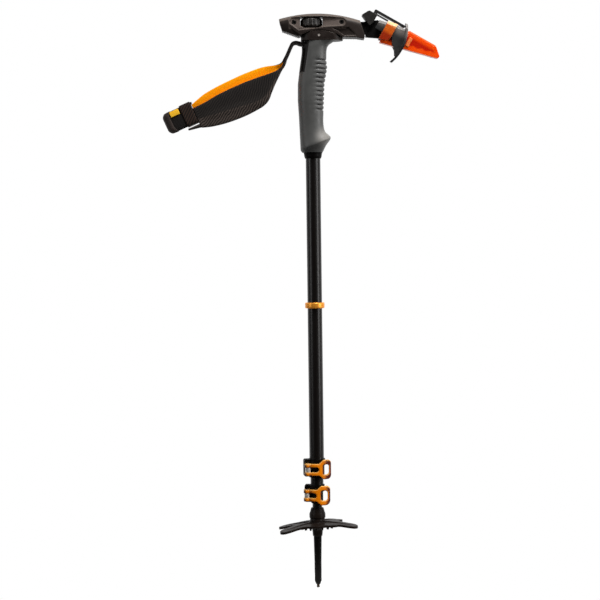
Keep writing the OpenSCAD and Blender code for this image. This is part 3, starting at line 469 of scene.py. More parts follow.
# %% [markdown]
# ## Other moulded pieces
# The clamps and the ferrule are a black nylon, the basket a tougher polyethylene in a warmer black,
# and the wheel a nylon that thumbs have worn pale on its ribs. The guard's retaining band and its
# stop block are rubber, which is duller. They differ only in tone, gloss and roundness, so the
# shared look is all that they need.

# %% Black nylon, basket, wheel and rubber
# Plain black, almost without shine.
FINISHES["black_plastic"] = surface(
    "black_nylon", ("#060504", "#0f0c0a"), 4, (0.36, 0.5), 0.5, 0.02, round_mm=0.8, **{SHINE: 0.08}
)[0]

# Warm black, with a broad faint shine on the lobes.
FINISHES["basket_plastic"] = surface(
    "basket_polyethylene", ("#17110d", "#231a16"), 8, (0.36, 0.5), 0.7, 0.03, round_mm=1.2, **{SHINE: 0.1}
)[0]

# Black, with pale lines along the ribs.
material, tree, shader, _, tone = surface(
    "wheel_nylon", ("#171412", "#25211f"), 3, (0.32, 0.48), 0.4, 0.02, round_mm=0.9
)
tree.links.new(edge_wear_and_light(tree, tone, "#8d8580", 0.6, 0.5), shader.inputs[COLOUR])
FINISHES["wheel_plastic"] = material

# Dull black, stretched smooth.
FINISHES["black_rubber"] = surface(
    "black_band_rubber", ("#121110", "#1d1b1a"), 4, (0.45, 0.62), 0.5, 0.03, **{SHINE: 0.4}
)[0]

# Dull black with softer, rounder edges.
FINISHES["block_rubber"] = surface(
    "stop_block_rubber", ("#161412", "#262320"), 4, (0.38, 0.55), 0.5, 0.03, round_mm=1.2, **{SHINE: 0.4}
)[0]
print("rubber and plastic:", len(FINISHES), "finishes so far")

# %% [markdown]
# ## Tinted guard
# The sheath and its band are clear polyurethane with an orange dye. Light goes in, scatters and
# comes out, so the rims look paler, and the middle, where the steel pick lies behind the plastic,
# looks redder, with the pick's teeth as a scalloped lower edge. Real glass-like depth would need
# many light bounces, so both are painted: a pale rim of light along the edges, and the steel's
# outline as a redder, shaded tone, in the pick's own frame.
# That starts at the pick's root and is turned 30 degrees about Y: X runs along the blade and Z
# across it.

# %% Places in the pick's frame
PICK_ROOT = Vector((93.8, 0, 699.6)) * MM
PICK_DROP = math.radians(30)


def in_pick_frame(tree, place):
    """The place along the pick's blade and across it, in millimetres."""
    turned = add(
        tree,
        "ShaderNodeMapping",
        {"Vector": place, "Location": PICK_ROOT, "Rotation": (0, PICK_DROP, 0), "Scale": (MM, MM, MM)},
        vector_type="TEXTURE",
    )
    axes = add(tree, "ShaderNodeSeparateXYZ", {0: turned.outputs[0]})
    return axes.outputs["X"], axes.outputs["Z"]


print("pick frame at", [round(x, 4) for x in PICK_ROOT])

# %% [markdown]
# The sheath's steel core lies above the tooth line, under the blade's back and short of the tip.
# The blade's lower edge climbs along it, and a Ping-Pong gives the teeth. A raised lug beside the
# clip carries a painted pale highlight, the palest spot.

# %% Sheath
PICK_BACK = (0.5, -5.0)
PICK_TIP = (71, 64)
BLADE_CLIMB = 0.233
TOOTH_PITCH = 5.25
TOOTH_DEEP = 1.8
TOOTH_LINE = (-21.5, -18.5)
LUG_RUN = (32.8, 36.6)
LUG_RISE = (-14.4, -3.0)
LUG_SOFT = 0.4

# Deep clear orange that goes to brick red over the steel, with a wet-looking gloss.
material, tree, shader, place, tone = surface(
    "tinted_polyurethane_sheath",
    ("#ff4800", "#ff5a04"),
    12,
    (0.24, 0.34),
    1.2,
    0.01,
    round_mm=0.8,
    **{
        "Subsurface Weight": 0.25,
        "Subsurface Radius": (0.004, 0.0012, 0.0003),
        "Subsurface Scale": 1.0,
        "Coat Weight": 0.12,
        "Coat Roughness": 0.15,
    },
)
run, rise = in_pick_frame(tree, place)
low_edge = add(tree, "ShaderNodeMath", {0: run, 1: -BLADE_CLIMB, 2: rise}, operation="MULTIPLY_ADD")
tooth = add(tree, "ShaderNodeMath", {0: run, 1: TOOTH_PITCH}, operation="PINGPONG")
toothed = add(
    tree,
    "ShaderNodeMath",
    {0: tooth.outputs[0], 1: TOOTH_DEEP / TOOTH_PITCH, 2: low_edge.outputs[0]},
    operation="MULTIPLY_ADD",
)
over_steel = [(toothed.outputs[0], *TOOTH_LINE), (rise, *PICK_BACK), (run, *PICK_TIP)]
# Painted shade: the steel behind the plastic, as a redder tone.
tone, _ = lay_over(tree, tone, "#c41c00", over_steel)
on_lug = [
    (run, LUG_RUN[0] - LUG_SOFT, LUG_RUN[0]),
    (run, LUG_RUN[1] + LUG_SOFT, LUG_RUN[1]),
    (rise, LUG_RISE[0] - LUG_SOFT, LUG_RISE[0]),
    (rise, LUG_RISE[1] + LUG_SOFT, LUG_RISE[1]),
]
# Painted highlight on the lug.
tone, _ = lay_over(tree, tone, "#ff8648", on_lug)
# Painted pale rim of light along the edges.
tree.links.new(edge_wear_and_light(tree, tone, "#ff8a2a", 1.2, 0.6), shader.inputs[COLOUR])
FINISHES["sheath_plastic"] = material
print("sheath ready")

# %% [markdown]
# The band is the same plastic, thinner: a painted pale highlight on its back, and a painted
# brick-red shade low down, where the steel lies behind. The clip that holds both is grey nylon, with
# a painted pale highlight along its back. Both change only across the blade, so a soft range of
# that one height draws each tone.

# %% Band and clip
BAND_SHADED_FOOT, BAND_HIGHLIGHT_BACK = (-9.0, -15.0), (-4.0, 1.0)
CLIP_HIGHLIGHT_BACK = (-11.0, -1.0)

# Glossy amber between a painted pale highlight on the back and a painted red shade at the foot, with painted
# pale rims.
material, tree, shader, place, tone = surface(
    "tinted_polyurethane_band",
    ("#c8500e", "#dc6a1e"),
    5,
    (0.2, 0.32),
    1.2,
    0.03,
    round_mm=1.6,
    **{
        "Subsurface Weight": 0.2,
        "Subsurface Radius": (0.004, 0.002, 0.0006),
        "Subsurface Scale": 1.0,
        "Coat Weight": 0.5,
        "Coat Roughness": 0.1,
    },
)
_, rise = in_pick_frame(tree, place)
# Painted shade low down, where the steel lies behind.
tone, _ = lay_over(tree, tone, "#9c2a08", [(rise, *BAND_SHADED_FOOT)])
# Painted highlight on the back.
tone, _ = lay_over(tree, tone, "#ffc88e", [(rise, *BAND_HIGHLIGHT_BACK)])
# Painted pale rim of light along the edges.
tree.links.new(edge_wear_and_light(tree, tone, "#ff9a4a", 0.8, 0.6), shader.inputs[COLOUR])
FINISHES["band_plastic"] = material

# Dark neutral grey, with a painted pale highlight that grows towards its back.
material, tree, shader, place, tone = surface(
    "clip_nylon", ("#232323", "#313030"), 5, (0.34, 0.46), 0.5, 0.02, round_mm=1.4
)
_, rise = in_pick_frame(tree, place)
# Painted highlight along the clip's back.
tone, _ = lay_over(tree, tone, "#77716c", [(rise, *CLIP_HIGHLIGHT_BACK)])
tree.links.new(tone, shader.inputs[COLOUR])
FINISHES["clip_plastic"] = material
print("band and clip ready")

# %% [markdown]
# ## Woven webbing
# The strap's outer face is a black polyester twill. Twill shows as slanting ribs, so a wave
# texture runs at an angle across the strap's own UV map, which is laid out in metres. Real ribs
# are under 1 mm apart, too fine to show, so they are drawn as coarse as the photograph shows them.
# The lining is a brushed orange knit, and the narrow parts of the strap use a plainer, tighter
# weave. The pad's lower panel, below its crease, is a lighter cloth: a second UV map holds the
# distance to the crease for that.

# %% Weave tool
PATCH = 14
THREAD_SHARE = 0.4  # a thread's width, as a share of the rib
THREAD_LEVEL, PATCH_LEVEL = 0.3, 0.35
WEAVE_DARK, WEAVE_LIT = 0.3, 1.35
CREASE_SEAM = (-0.08, 0.05)
WAVE_PERIOD = 2 * math.pi / 20  # one period of a band wave, in its own coordinate


def woven(name, tones, rib_mm, slant, rib_height_mm, rough, gloss=0.2, upper_level=1.0):
    material, tree, shader, _ = start_finish(name, **{"Roughness": rough, SHINE: gloss})
    weave = add(tree, "ShaderNodeUVMap", uv_map="weave").outputs[0]
    turned = add(tree, "ShaderNodeMapping", {"Vector": weave, "Rotation": (0, 0, math.radians(slant))})
    ribs = add(
        tree,
        "ShaderNodeTexWave",
        {
            "Vector": turned.outputs[0],
            "Scale": per_mm(rib_mm) * WAVE_PERIOD,
            "Distortion": 0.06,
            "Detail": 1.0,
        },
    )
    threads = add(
        tree,
        "ShaderNodeTexNoise",
        {"Vector": weave, "Scale": per_mm(rib_mm * THREAD_SHARE), "Detail": 3.0},
    )
    patches = add(tree, "ShaderNodeTexNoise", {"Vector": weave, "Scale": per_mm(PATCH), "Detail": 2.0})
    mixed = add(
        tree,
        "ShaderNodeMath",
        {0: threads.outputs["Fac"], 1: THREAD_LEVEL, 2: ribs.outputs["Fac"]},
        operation="MULTIPLY_ADD",
    ).outputs[0]
    lit = add(
        tree,
        "ShaderNodeMath",
        {0: patches.outputs["Fac"], 1: PATCH_LEVEL, 2: mixed},
        operation="MULTIPLY_ADD",
    )
    level = add(tree, "ShaderNodeMapRange", {"Value": lit.outputs[0], 1: WEAVE_DARK, 2: WEAVE_LIT})
    panel_map = add(tree, "ShaderNodeUVMap", uv_map="panel").outputs[0]
    panel = add(tree, "ShaderNodeSeparateXYZ", {0: panel_map})
    below = add(
        tree,
        "ShaderNodeMapRange",
        {"Value": panel.outputs["Y"], 1: CREASE_SEAM[0], 2: CREASE_SEAM[1], 3: upper_level, 4: 1.0},
    )
    shown = add(tree, "ShaderNodeMath", {0: level.outputs[0], 1: below.outputs[0]}, operation="MULTIPLY")
    tone = add(
        tree,
        "ShaderNodeMix",
        {0: shown.outputs[0], MIX_A: linear(tones[0]), MIX_B: linear(tones[1])},
        data_type="RGBA",
    )
    bump = add(
        tree, "ShaderNodeBump", {"Height": mixed, "Distance": rib_height_mm * MM, "Strength": 0.7}
    )
    tree.links.new(tone.outputs[MIX_OUT], shader.inputs[COLOUR])
    tree.links.new(bump.outputs[0], shader.inputs["Normal"])
    return material


print("weave tool ready, patches of", PATCH, "mm")

# %% [markdown]
# Each cloth is named for how it is made: a twill for the pads, a plain narrow weave for the fold,
# the same weave painted lighter on the outer wrap as a highlight, elastic for the keeper, and knits
# for the bright tab and the lining.

# %% Twill, narrow webbing, elastic and knit
TWILL_RIB = 2.5
BAND_RIB = 1.5
ELASTIC_RIB = 3.0
KNIT = 1.6

# Slanting grey ribs on black, darker above the crease.
FINISHES["twill"] = woven(
    "black_twill", ("#0d0b0a", "#554a44"), TWILL_RIB, 59, 0.25, 0.8, upper_level=0.2
)
# Tight and almost black.
FINISHES["webbing"] = woven("narrow_webbing", ("#080605", "#181311"), BAND_RIB, 90, 0.2, 0.7)
# Painted lighter, a warm grey, as a highlight on the rounded end.
FINISHES["folded_webbing"] = woven("folded_webbing", ("#2a2320", "#4a403b"), BAND_RIB, 90, 0.15, 0.6)
# Black with brown slanting ribs.
FINISHES["elastic"] = woven("elastic_band", ("#080706", "#382820"), ELASTIC_RIB, 50, 0.3, 0.7)
# Bright yellow-orange and smooth.
FINISHES["tab_cloth"] = woven("bright_tab_cloth", ("#ffae08", "#ffd640"), KNIT, 45, 0.08, 0.6)
# Even orange without shine.
FINISHES["lining"] = woven("orange_knit", ("#ff8f00", "#ffab0c"), KNIT, 45, 0.12, 0.85, gloss=0.05)
print("finishes:", len(FINISHES))

# %% [markdown]
# ## Dress the rigid pieces
# The record says which finish each rigid piece has, apart from the ring, which is turned, and the
# strap's pin, which is blackened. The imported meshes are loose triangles, so a Weld joins their
# corners and an Edge Split keeps the creases that are sharper than 32 degrees. Both are modifiers,
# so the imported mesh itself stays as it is.

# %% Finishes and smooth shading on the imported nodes
CREASE = math.radians(32)
JOIN_WITHIN = 0.002 * MM
FINISH_OF = {"shaft_ring": "ring_metal", "strap_pin": "dark_steel"}
slot_of = {part["node"]: part["material_slot"] for part in frame["record"]["subparts"]}
for name, piece in nodes.items():
    piece.data.materials.clear()
    piece.data.materials.append(FINISHES[FINISH_OF.get(name, slot_of[name])])
    if "custom_normal" in piece.data.attributes:
        piece.data.attributes.remove(piece.data.attributes["custom_normal"])
    piece.data.polygons.foreach_set("use_smooth", [True] * len(piece.data.polygons))
    weld = piece.modifiers.new("join_corners", "WELD")
    weld.merge_threshold = JOIN_WITHIN
    crease = piece.modifiers.new("keep_creases", "EDGE_SPLIT")
    crease.split_angle = CREASE
print("dressed", len(nodes), "rigid pieces")

# %% [markdown]
# ## The wrist strap's path
# The strap is one long webbing that goes round the pin in the grip and comes back: two plies, one
# on the other, flat side up. A little way down they turn a quarter about their own length, so one
# ply faces the camera and the other lies behind it, and both widen into pads for the hand.
# A cloth simulation could drape it, but the pads are stiff and the photograph shows their outline,
# so each ply is drawn by its two edges, listed in millimetres from the grip to the keeper. The
# edge that starts nearest the camera ends up on top.

# %% Neck of the strap
PLY_OFFSET = 1.05
# The near ply is doubled where it is sewn at the pin, so its middle lies lower there.
SEWN_OFFSET = {1: (0.5, 0.35, 0.05, 0, 0, 0), -1: (0, 0, 0, 0, 0, 0)}
NECK_HALF = 7.4
neck_line = [
    (-8.5, 674.35), (-14.5, 675.1), (-19.1, 676.1), (-22.9, 675.1), (-25.2, 672.0), (-30.4, 660.5),
]
neck_down = [(0, -1), (-0.05, -1), (0.1, -1), (0.56, -0.83), (0.88, -0.47), (0.91, -0.42)]


def neck_edge(side_y, ply):
    return [
        Vector((x, side_y * NECK_HALF, z)) + Vector((dx, 0, dz)) * ply * (PLY_OFFSET + more)
        for (x, z), (dx, dz), more in zip(neck_line, neck_down, SEWN_OFFSET[ply])
    ]


print("neck stations:", len(neck_line))

# %% [markdown]
# Below the neck, the near ply's edges turn to the camera's side and the far ply's to the back, and
# then stay at one depth along the pads.

# %% Edges of the two plies
PAD_Y = 6.6
near_turning = [(-31.9, -7.4, 656.3), (-34.6, -7.3, 650.6), (-38.2, -7.0, 644.2)]
near_top_line = [
    (-45.5, 641.0), (-56, 637.4), (-66, 634.2), (-76, 630.8), (-86, 627), (-95, 623.2),
    (-104, 619.3), (-113, 615.1), (-122, 610.2), (-131, 605.1), (-139, 600.8), (-147.5, 597.0),
]
near_folding = [(-31.3, 6.2, 656.0), (-32.6, 2.0, 651.2), (-34.6, -3.6, 646.0), (-37.9, -6.0, 640.8)]
near_low_line = [
    (-42.4, 633.0), (-46, 624.8), (-49.2, 616.2), (-53.2, 605.6), (-60.5, 598), (-71, 592.2),
    (-83, 586.4), (-97, 581.0), (-111.5, 576.7), (-125, 574.0), (-136.9, 573.0),
]
far_turning = [(-33.6, -6.6, 657.0), (-35.8, -3.2, 653.4), (-39.6, 2.2, 651.0), (-46.2, 5.6, 649.6)]
far_top_line = [
    (-54.8, 648.7), (-64.4, 646.7), (-75.9, 642.8), (-87.4, 638.4), (-99.2, 633.2), (-111.7, 627.4),
    (-122.4, 622.0), (-133.2, 615.8), (-141, 609.8), (-146.6, 605.0), (-149.6, 602.3),
]
far_folding = [(-32.6, 7.3, 656.6), (-34.2, 7.2, 651.2), (-35.6, 7.0, 646.0)]
far_low_line = [
    (-38.4, 640.2), (-42.4, 632.2), (-46.2, 624.2), (-49.6, 616.2), (-53.8, 606.4), (-61, 599),
    (-71, 593.2), (-83, 587.4), (-97, 582.2), (-111.5, 577.9), (-125, 575.2), (-137.3, 574.2),
]


def ply_edge(neck, turning, pad_line, pad_y):
    return neck + [Vector(p) for p in turning] + [Vector((x, pad_y, z)) for x, z in pad_line]


near_top = ply_edge(neck_edge(-1, 1), near_turning, near_top_line, -PAD_Y)
near_low = ply_edge(neck_edge(1, 1), near_folding, near_low_line, -PAD_Y)
far_top = ply_edge(neck_edge(-1, -1), far_turning, far_top_line, PAD_Y)
far_low = ply_edge(neck_edge(1, -1), far_folding, far_low_line, PAD_Y)
print("stations along each ply:", len(near_top), len(near_low), len(far_top), len(far_low))

# %% [markdown]
# ## A ply as a stuffed ribbon
# A smooth curve through the listed points gives each edge, and a straight rung between the edges
# gives a point of the ply's middle surface. A Bezier curve object could carry an edge too, but its
# handles would have to be set by hand, and this kind of curve passes through every point.


# %% Smooth curve and steps
def along(points, t):
    """A point on the smooth curve (Catmull-Rom) through the points, for t from 0 to 1."""
    x = min(max(t, 0), 1) * (len(points) - 1)
    i = min(int(x), len(points) - 2)
    f = x - i
    p0, p1, p2, p3 = (points[min(max(i + k, 0), len(points) - 1)] for k in (-1, 0, 1, 2))
    bend = 2 * p0 - 5 * p1 + 4 * p2 - p3
    swing = 3 * p1 - p0 - 3 * p2 + p3
    return 0.5 * (2 * p1 + (p2 - p0) * f + bend * f**2 + swing * f**3)


def smooth(a, b, x):
    """A soft step from 0 at a to 1 at b."""
    t = min(max((x - a) / (b - a), 0), 1)
    return t * t * (3 - 2 * t)


print("half way along the near edge:", along(near_top, 0.5))

# %% [markdown]
# A Solidify modifier would thicken a sheet evenly, and a pad swells, so the ribbon has two faces of
# its own: a grid is made for each, its points are moved out from the middle surface by half of the
# thickness, and the two rims are bridged. Each corner also keeps its place along and across the
# ply, in metres, for the weave. A Subdivision Surface then rounds off what is left.


# %% Ribbon tools
def as_object(name, bm):
    mesh = bpy.data.meshes.new(name)
    bm.to_mesh(mesh)
    bm.free()
    made = bpy.data.objects.new(name, mesh)
    scene.collection.objects.link(made)
    return made


def two_faced(name, point, flat, steps, rungs, panel=lambda t, q: q):
    """A closed ribbon: point(t, q, face) is a place in mm, and flat(t, q) its place on the cloth."""
    bm = bmesh.new()
    weave = bm.loops.layers.uv.new("weave")
    panels = bm.loops.layers.uv.new("panel")
    spot = {}
    part = {}
    for face in (-1, 1):
        grid = bmesh.ops.create_grid(bm, x_segments=steps, y_segments=rungs, size=1)
        for v in grid["verts"]:
            t, q = (v.co.x + 1) / 2, v.co.y
            spot[v] = Vector(flat(t, q)) * MM
            part[v] = (t, panel(t, q))
            v.co = point(t, q, face) * MM
    rims = [e for e in bm.edges if e.is_boundary]
    bmesh.ops.bridge_loops(bm, edges=rims)
    bmesh.ops.recalc_face_normals(bm, faces=bm.faces)
    for f in bm.faces:
        f.smooth = True
        for loop in f.loops:
            loop[weave].uv = spot[loop.vert]
            loop[panels].uv = part[loop.vert]
    return as_object(name, bm)


def finish_soft(piece, finish, body):
    piece.data.materials.append(FINISHES[finish])
    round_off = piece.modifiers.new("soften", "SUBSURF")
    round_off.levels = round_off.render_levels = 1
    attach(piece, body)
    print(piece.name, len(piece.data.polygons), "faces")


print("ribbon tools ready")

# %% [markdown]
# ## The pads' thickness
# The thickness swells from webbing at the neck to foam in the pad, crowned between its seams, and
# thins again towards the keeper. The near pad's face has a soft crease where it bends round the
# hand, from its right edge down to the keeper. Sculpting could give both, but a formula of the place
# along the ply (t, from 0 to 1) and across it (q, from -1 to 1) is easier to change.

# %% Middle surface, thickness and crease
WEBBING_T, PAD_T, SEAM_T, SEWN_T = 1.9, 4.2, 1.5, 0.9
PAD_FROM, PAD_TO = 0.30, 0.52
THIN_FROM, THIN_SHARE = 0.86, 0.45
SEWN_FROM, SEWN_TO = 0.02, 0.12
CREASE_RISE, CREASE_WIDE = 1.1, 0.22
CREASE_LOW, CREASE_CLIMB, CREASE_RUN = 0.85, 0.75, (0.5, 0.95)
CREASE_STARTS, CREASE_ENDS = (0.42, 0.6), (0.9, 1)
STEP_ALONG, STEP_ACROSS = 0.004, 0.05


def ply_middle(top, low, t, q):
    return along(top, t).lerp(along(low, t), (q + 1) / 2)


def ply_normal(top, low, t, q, turn):
    t0, t1 = max(t - STEP_ALONG, 0), min(t + STEP_ALONG, 1)
    q0, q1 = max(q - STEP_ACROSS, -1), min(q + STEP_ACROSS, 1)
    run = ply_middle(top, low, t1, q) - ply_middle(top, low, t0, q)
    rise = ply_middle(top, low, t, q1) - ply_middle(top, low, t, q0)
    return run.cross(rise).normalized() * turn


def ply_thickness(t, q, sewn=0):
    foam = smooth(PAD_FROM, PAD_TO, t) * (1 - THIN_SHARE * smooth(THIN_FROM, 1, t))
    crown = (1 - abs(q) ** 4) ** 0.5
    edge = WEBBING_T + foam * (SEAM_T - WEBBING_T)
    doubled = sewn * (1 - smooth(SEWN_FROM, SEWN_TO, t))
    return edge + foam * (PAD_T - SEAM_T) * crown + doubled


def crease_at(t):
    return CREASE_LOW - CREASE_CLIMB * smooth(*CREASE_RUN, t)


def crease_height(t, q):
    ridge = math.exp(-(((q - crease_at(t)) / CREASE_WIDE) ** 2))
    return CREASE_RISE * ridge * smooth(*CREASE_STARTS, t) * (1 - smooth(*CREASE_ENDS, t))


print("pad middle is", round(ply_thickness(0.7, 0), 2), "mm thick")

# %% [markdown]
# ## Pads and linings
# Each pad is a ribbon on its ply's two edges. The lining is a thinner cloth on the inner face of
# each pad, so it starts where the ply has begun to turn, and stops short of the pad's seams.

# %% Points of pads and linings
LINING_T, LINING_GAP = 0.8, 0.12
LINING_SIDE, LINING_END = 0.995, 0.998
FLAT_SAMPLES = 80


def ply_flat(top, low):
    """A ply's place on the cloth: the length run along its middle, and the distance across."""
    middle = [ply_middle(top, low, i / FLAT_SAMPLES, 0) for i in range(FLAT_SAMPLES + 1)]
    run = [0]
    for a, b in zip(middle, middle[1:]):
        run.append(run[-1] + (b - a).length)

    def flat(t, q):
        return run[round(t * FLAT_SAMPLES)], q * (along(top, t) - along(low, t)).length / 2

    return flat


def pad_point(top, low, turn, near):
    """The near ply has the crease, and it is doubled where it is sewn round the pin."""
    sewn = SEWN_T if near else 0

    def point(t, q, face):
        out = ply_normal(top, low, t, q, turn)
        place = ply_middle(top, low, t, q) + out * face * ply_thickness(t, q, sewn) / 2
        if near and face > 0:
            place += out * crease_height(t, q)
        return place

    return point


def lining_point(top, low, turn, start, reach):
    def point(t, q, face):
        t = start + (1 - start) * t * LINING_END
        q = -LINING_SIDE + (reach + LINING_SIDE) * (q + 1) / 2
        out = ply_normal(top, low, t, q, turn)
        inset = ply_thickness(t, q) / 2 + LINING_GAP + LINING_T * (1 - face) / 2
        return ply_middle(top, low, t, q) - out * inset

    return point


print("near ply is", round(ply_flat(near_top, near_low)(1, 0)[0]), "mm long")

# %% [markdown]
# The plies' outer faces look away from each other, so the near ply's normal is turned to the
# camera and the far one's to the back. Each of the four pieces stands in for the plain solid that
# the imported model has there.

# %% Make the pads and linings
NEAR_LINING_FROM, NEAR_LINING_REACH = 0.46, 0.88
FAR_LINING_FROM, FAR_LINING_REACH = 0.29, 0.86
PLY_GRID = (96, 16)
near_turn = -1 if ply_normal(near_top, near_low, 0.8, 0, 1).y > 0 else 1
near_ply = (near_top, near_low, near_turn)
far_ply = (far_top, far_low, -near_turn)
near_flat = ply_flat(near_top, near_low)
far_flat = ply_flat(far_top, far_low)

pad_near = two_faced(
    "wrist_pad_near", pad_point(*near_ply, True), near_flat, *PLY_GRID, lambda t, q: q - crease_at(t)
)
pad_far = two_faced("wrist_pad_far", pad_point(*far_ply, False), far_flat, *PLY_GRID)
lining_near = two_faced(
    "wrist_lining_near",
    lining_point(*near_ply, NEAR_LINING_FROM, NEAR_LINING_REACH),
    near_flat,
    *PLY_GRID,
)
lining_far = two_faced(
    "wrist_lining_far",
    lining_point(*far_ply, FAR_LINING_FROM, FAR_LINING_REACH),
    far_flat,
    *PLY_GRID,
)
for piece, finish, slot in (
    (pad_near, "twill", "webbing"),
    (pad_far, "twill", "webbing"),
    (lining_near, "lining", "lining"),
    (lining_far, "lining", "lining"),
):
    finish_soft(piece, finish, "strap")
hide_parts("strap_pad_near", "strap_neck")
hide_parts("strap_pad_far")
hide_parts("strap_lining_near")
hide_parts("strap_lining_far")

# %% [markdown]
# ## The strap's end
# Past the pads the two plies meet in a flat fold of webbing, with a second turn round its left
# end. All of it lies on a slope of 24 degrees, so it is built in its own flat frame, with s along
# the strap from its left end, w towards the back and h up across it, and then turned into place.
# The fold is a hairpin: the ribbon tool follows a U-shaped path, and its corners are rounded.

# %% Fold and wrap
END_ORIGIN = Vector((-179, 0, 578.1))
END_SLOPE = math.radians(24)
END_CORNER, CORNER_FROM = 3.4, 0.6
RIM_THINS = 0.35  # the share of its thickness that the webbing loses at its rims
HAIRPIN_RUNGS = 12
FOLD = {"steps": 60, "length": 36.0, "radius": 5.8, "thickness": 2.2, "half": 12.7}
WRAP = {"steps": 40, "length": 8.4, "radius": 7.65, "thickness": 1.3, "half": 13.0, "start": -1.9}


def from_end(s, w, h):
    c, n = math.cos(END_SLOPE), math.sin(END_SLOPE)
    return END_ORIGIN + Vector((s * c - h * n, w, s * n + h * c))


def u_path(length, radius, t):
    """A hairpin in s and w: the near side, round the left end and back. Also its outward normal."""
    straight = length - radius
    bend = math.pi * radius
    d = t * (2 * straight + bend)
    if d < straight:
        return (length - d, -radius), (0, -1)
    if d < straight + bend:
        a = (d - straight) / radius
        turn = (-math.sin(a), -math.cos(a))
        return (radius + radius * turn[0], radius * turn[1]), turn
    return (radius + d - straight - bend, radius), (0, 1)


def hairpin(name, steps, length, radius, thickness, half, start=0):
    def point(t, q, face):
        (s, w), (ns, nw) = u_path(length, radius, t)
        lift = face * thickness / 2 * (1 - RIM_THINS * q**6)
        corner = END_CORNER * max(0, (abs(q) - CORNER_FROM) / (1 - CORNER_FROM)) ** 2
        return from_end(s + start + corner + ns * lift, w + nw * lift, q * half)

    def flat(t, q):
        return t * (2 * length + radius), q * half

    return two_faced(name, point, flat, steps, HAIRPIN_RUNGS)


end_fold = hairpin("strap_fold", **FOLD)
end_wrap = hairpin("strap_wrap", **WRAP)
finish_soft(end_fold, "webbing", "strap")
# The wrap's lighter weave is a painted highlight on the rounded end.
finish_soft(end_wrap, "folded_webbing", "strap")
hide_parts("strap_end_fold")

# %% [markdown]
# ## The keeper
# The keeper is a sleeve of elastic round the fold. A circle of points is squared into its outline
# and extruded along the strap, and the skin is then given its thickness inwards.

# %% Keeper
KEEPER_S = (21.7, 36.4)
KEEPER_HALF = (8.0, 14.2)
KEEPER_T = 1.5
KEEPER_SQUARE = 0.28  # 1 is an ellipse, and less is squarer
KEEPER_STEPS, KEEPER_RUNGS = 64, 8


def keeper_outline(turn):
    """A rounded rectangle in the w, h plane."""
    across, up = math.cos(2 * math.pi * turn), math.sin(2 * math.pi * turn)
    return (
        math.copysign(abs(across) ** KEEPER_SQUARE, across) * KEEPER_HALF[0],
        math.copysign(abs(up) ** KEEPER_SQUARE, up) * KEEPER_HALF[1],
    )


def keeper_sleeve(name):
    bm = bmesh.new()
    weave = bm.loops.layers.uv.new("weave")
    bm.loops.layers.uv.new("panel")
    ring = bmesh.ops.create_circle(bm, segments=KEEPER_STEPS, radius=1)["verts"]
    for i, v in enumerate(ring):
        v.co = from_end(KEEPER_S[0], *keeper_outline(i / KEEPER_STEPS)) * MM
    edges = list(bm.edges)
    step = (from_end(1, 0, 0) - END_ORIGIN) * (KEEPER_S[1] - KEEPER_S[0]) / KEEPER_RUNGS * MM
    for _ in range(KEEPER_RUNGS):
        made = bmesh.ops.extrude_edge_only(bm, edges=edges)["geom"]
        moved = [g for g in made if isinstance(g, bmesh.types.BMVert)]
        edges = [g for g in made if isinstance(g, bmesh.types.BMEdge) and all(v in moved for v in g.verts)]
        bmesh.ops.translate(bm, verts=moved, vec=step)
    bmesh.ops.recalc_face_normals(bm, faces=bm.faces)
    bmesh.ops.solidify(bm, geom=list(bm.faces), thickness=KEEPER_T * MM)
    for f in bm.faces:
        f.smooth = True
        for loop in f.loops:
            local = loop.vert.co / MM - END_ORIGIN
            s = local.x * math.cos(END_SLOPE) + local.z * math.sin(END_SLOPE)
            h = -local.x * math.sin(END_SLOPE) + local.z * math.cos(END_SLOPE)
            loop[weave].uv = (s * MM, (h + local.y) * MM)
    return as_object(name, bm)


keeper = keeper_sleeve("strap_keeper_band")
finish_soft(keeper, "elastic", "strap")
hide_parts("strap_keeper")

# %% [markdown]
# ## Tail and tab
# The pad's short end sticks out under the keeper as a narrowing tail, and a bright tab for pulling
# is sewn on the fold. Both are small ribbons in the end's own frame.

# %% Tail and tab
TAIL_FROM, TAIL_LONG = 38.4, 17.5
TAIL_LOW, TAIL_CLIMB = -19.0, 1.8
TAIL_HALF, TAIL_NARROWS = 2.7, 1.5
TAIL_T, TAIL_THINS, TAIL_CLOTH = 1.6, 0.3, 20
TAIL_GRID = (18, 6)
TAB_FROM, TAB_LONG = 8.0, 12.0
TAB_OUT, TAB_UP, TAB_HALF = 7.3, 8.3, 3.5
TAB_T, TAB_CROWN = 0.8, 0.25
TAB_GRID = (14, 8)


def tail_point(t, q, face):
    half = TAIL_HALF - TAIL_NARROWS * t
    out = PAD_Y + face * TAIL_T / 2 * (1 - TAIL_THINS * q**4)
    return from_end(TAIL_FROM - TAIL_LONG * t, -out, TAIL_LOW + TAIL_CLIMB * t + half * q)


def tab_point(t, q, face):
    out = TAB_OUT + TAB_CROWN * (1 - q * q) + TAB_T * (1 + face) / 2
    return from_end(TAB_FROM + TAB_LONG * t, -out, TAB_UP + TAB_HALF * q)


tail = two_faced(
    "wrist_pad_tail", tail_point, lambda t, q: (TAIL_CLOTH * t, TAIL_HALF * q), *TAIL_GRID
)
finish_soft(tail, "twill", "strap")

tab = two_faced("strap_pull_tab", tab_point, lambda t, q: (TAB_LONG * t, TAB_HALF * q), *TAB_GRID)
finish_soft(tab, "tab_cloth", "strap")
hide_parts("strap_tab")

# %% [markdown]
# ## Studio
# The photograph is a cut-out on white, lit by tall soft boxes at both sides: the black tubes show
# two pale lines with a dark middle, because what they mirror in front is a dim room. So the world
# is white behind the object and dim in front of it. Rays from the camera see white all round.
# Mirrored rays see that white too where it stands, behind the object, and the dim room in front.

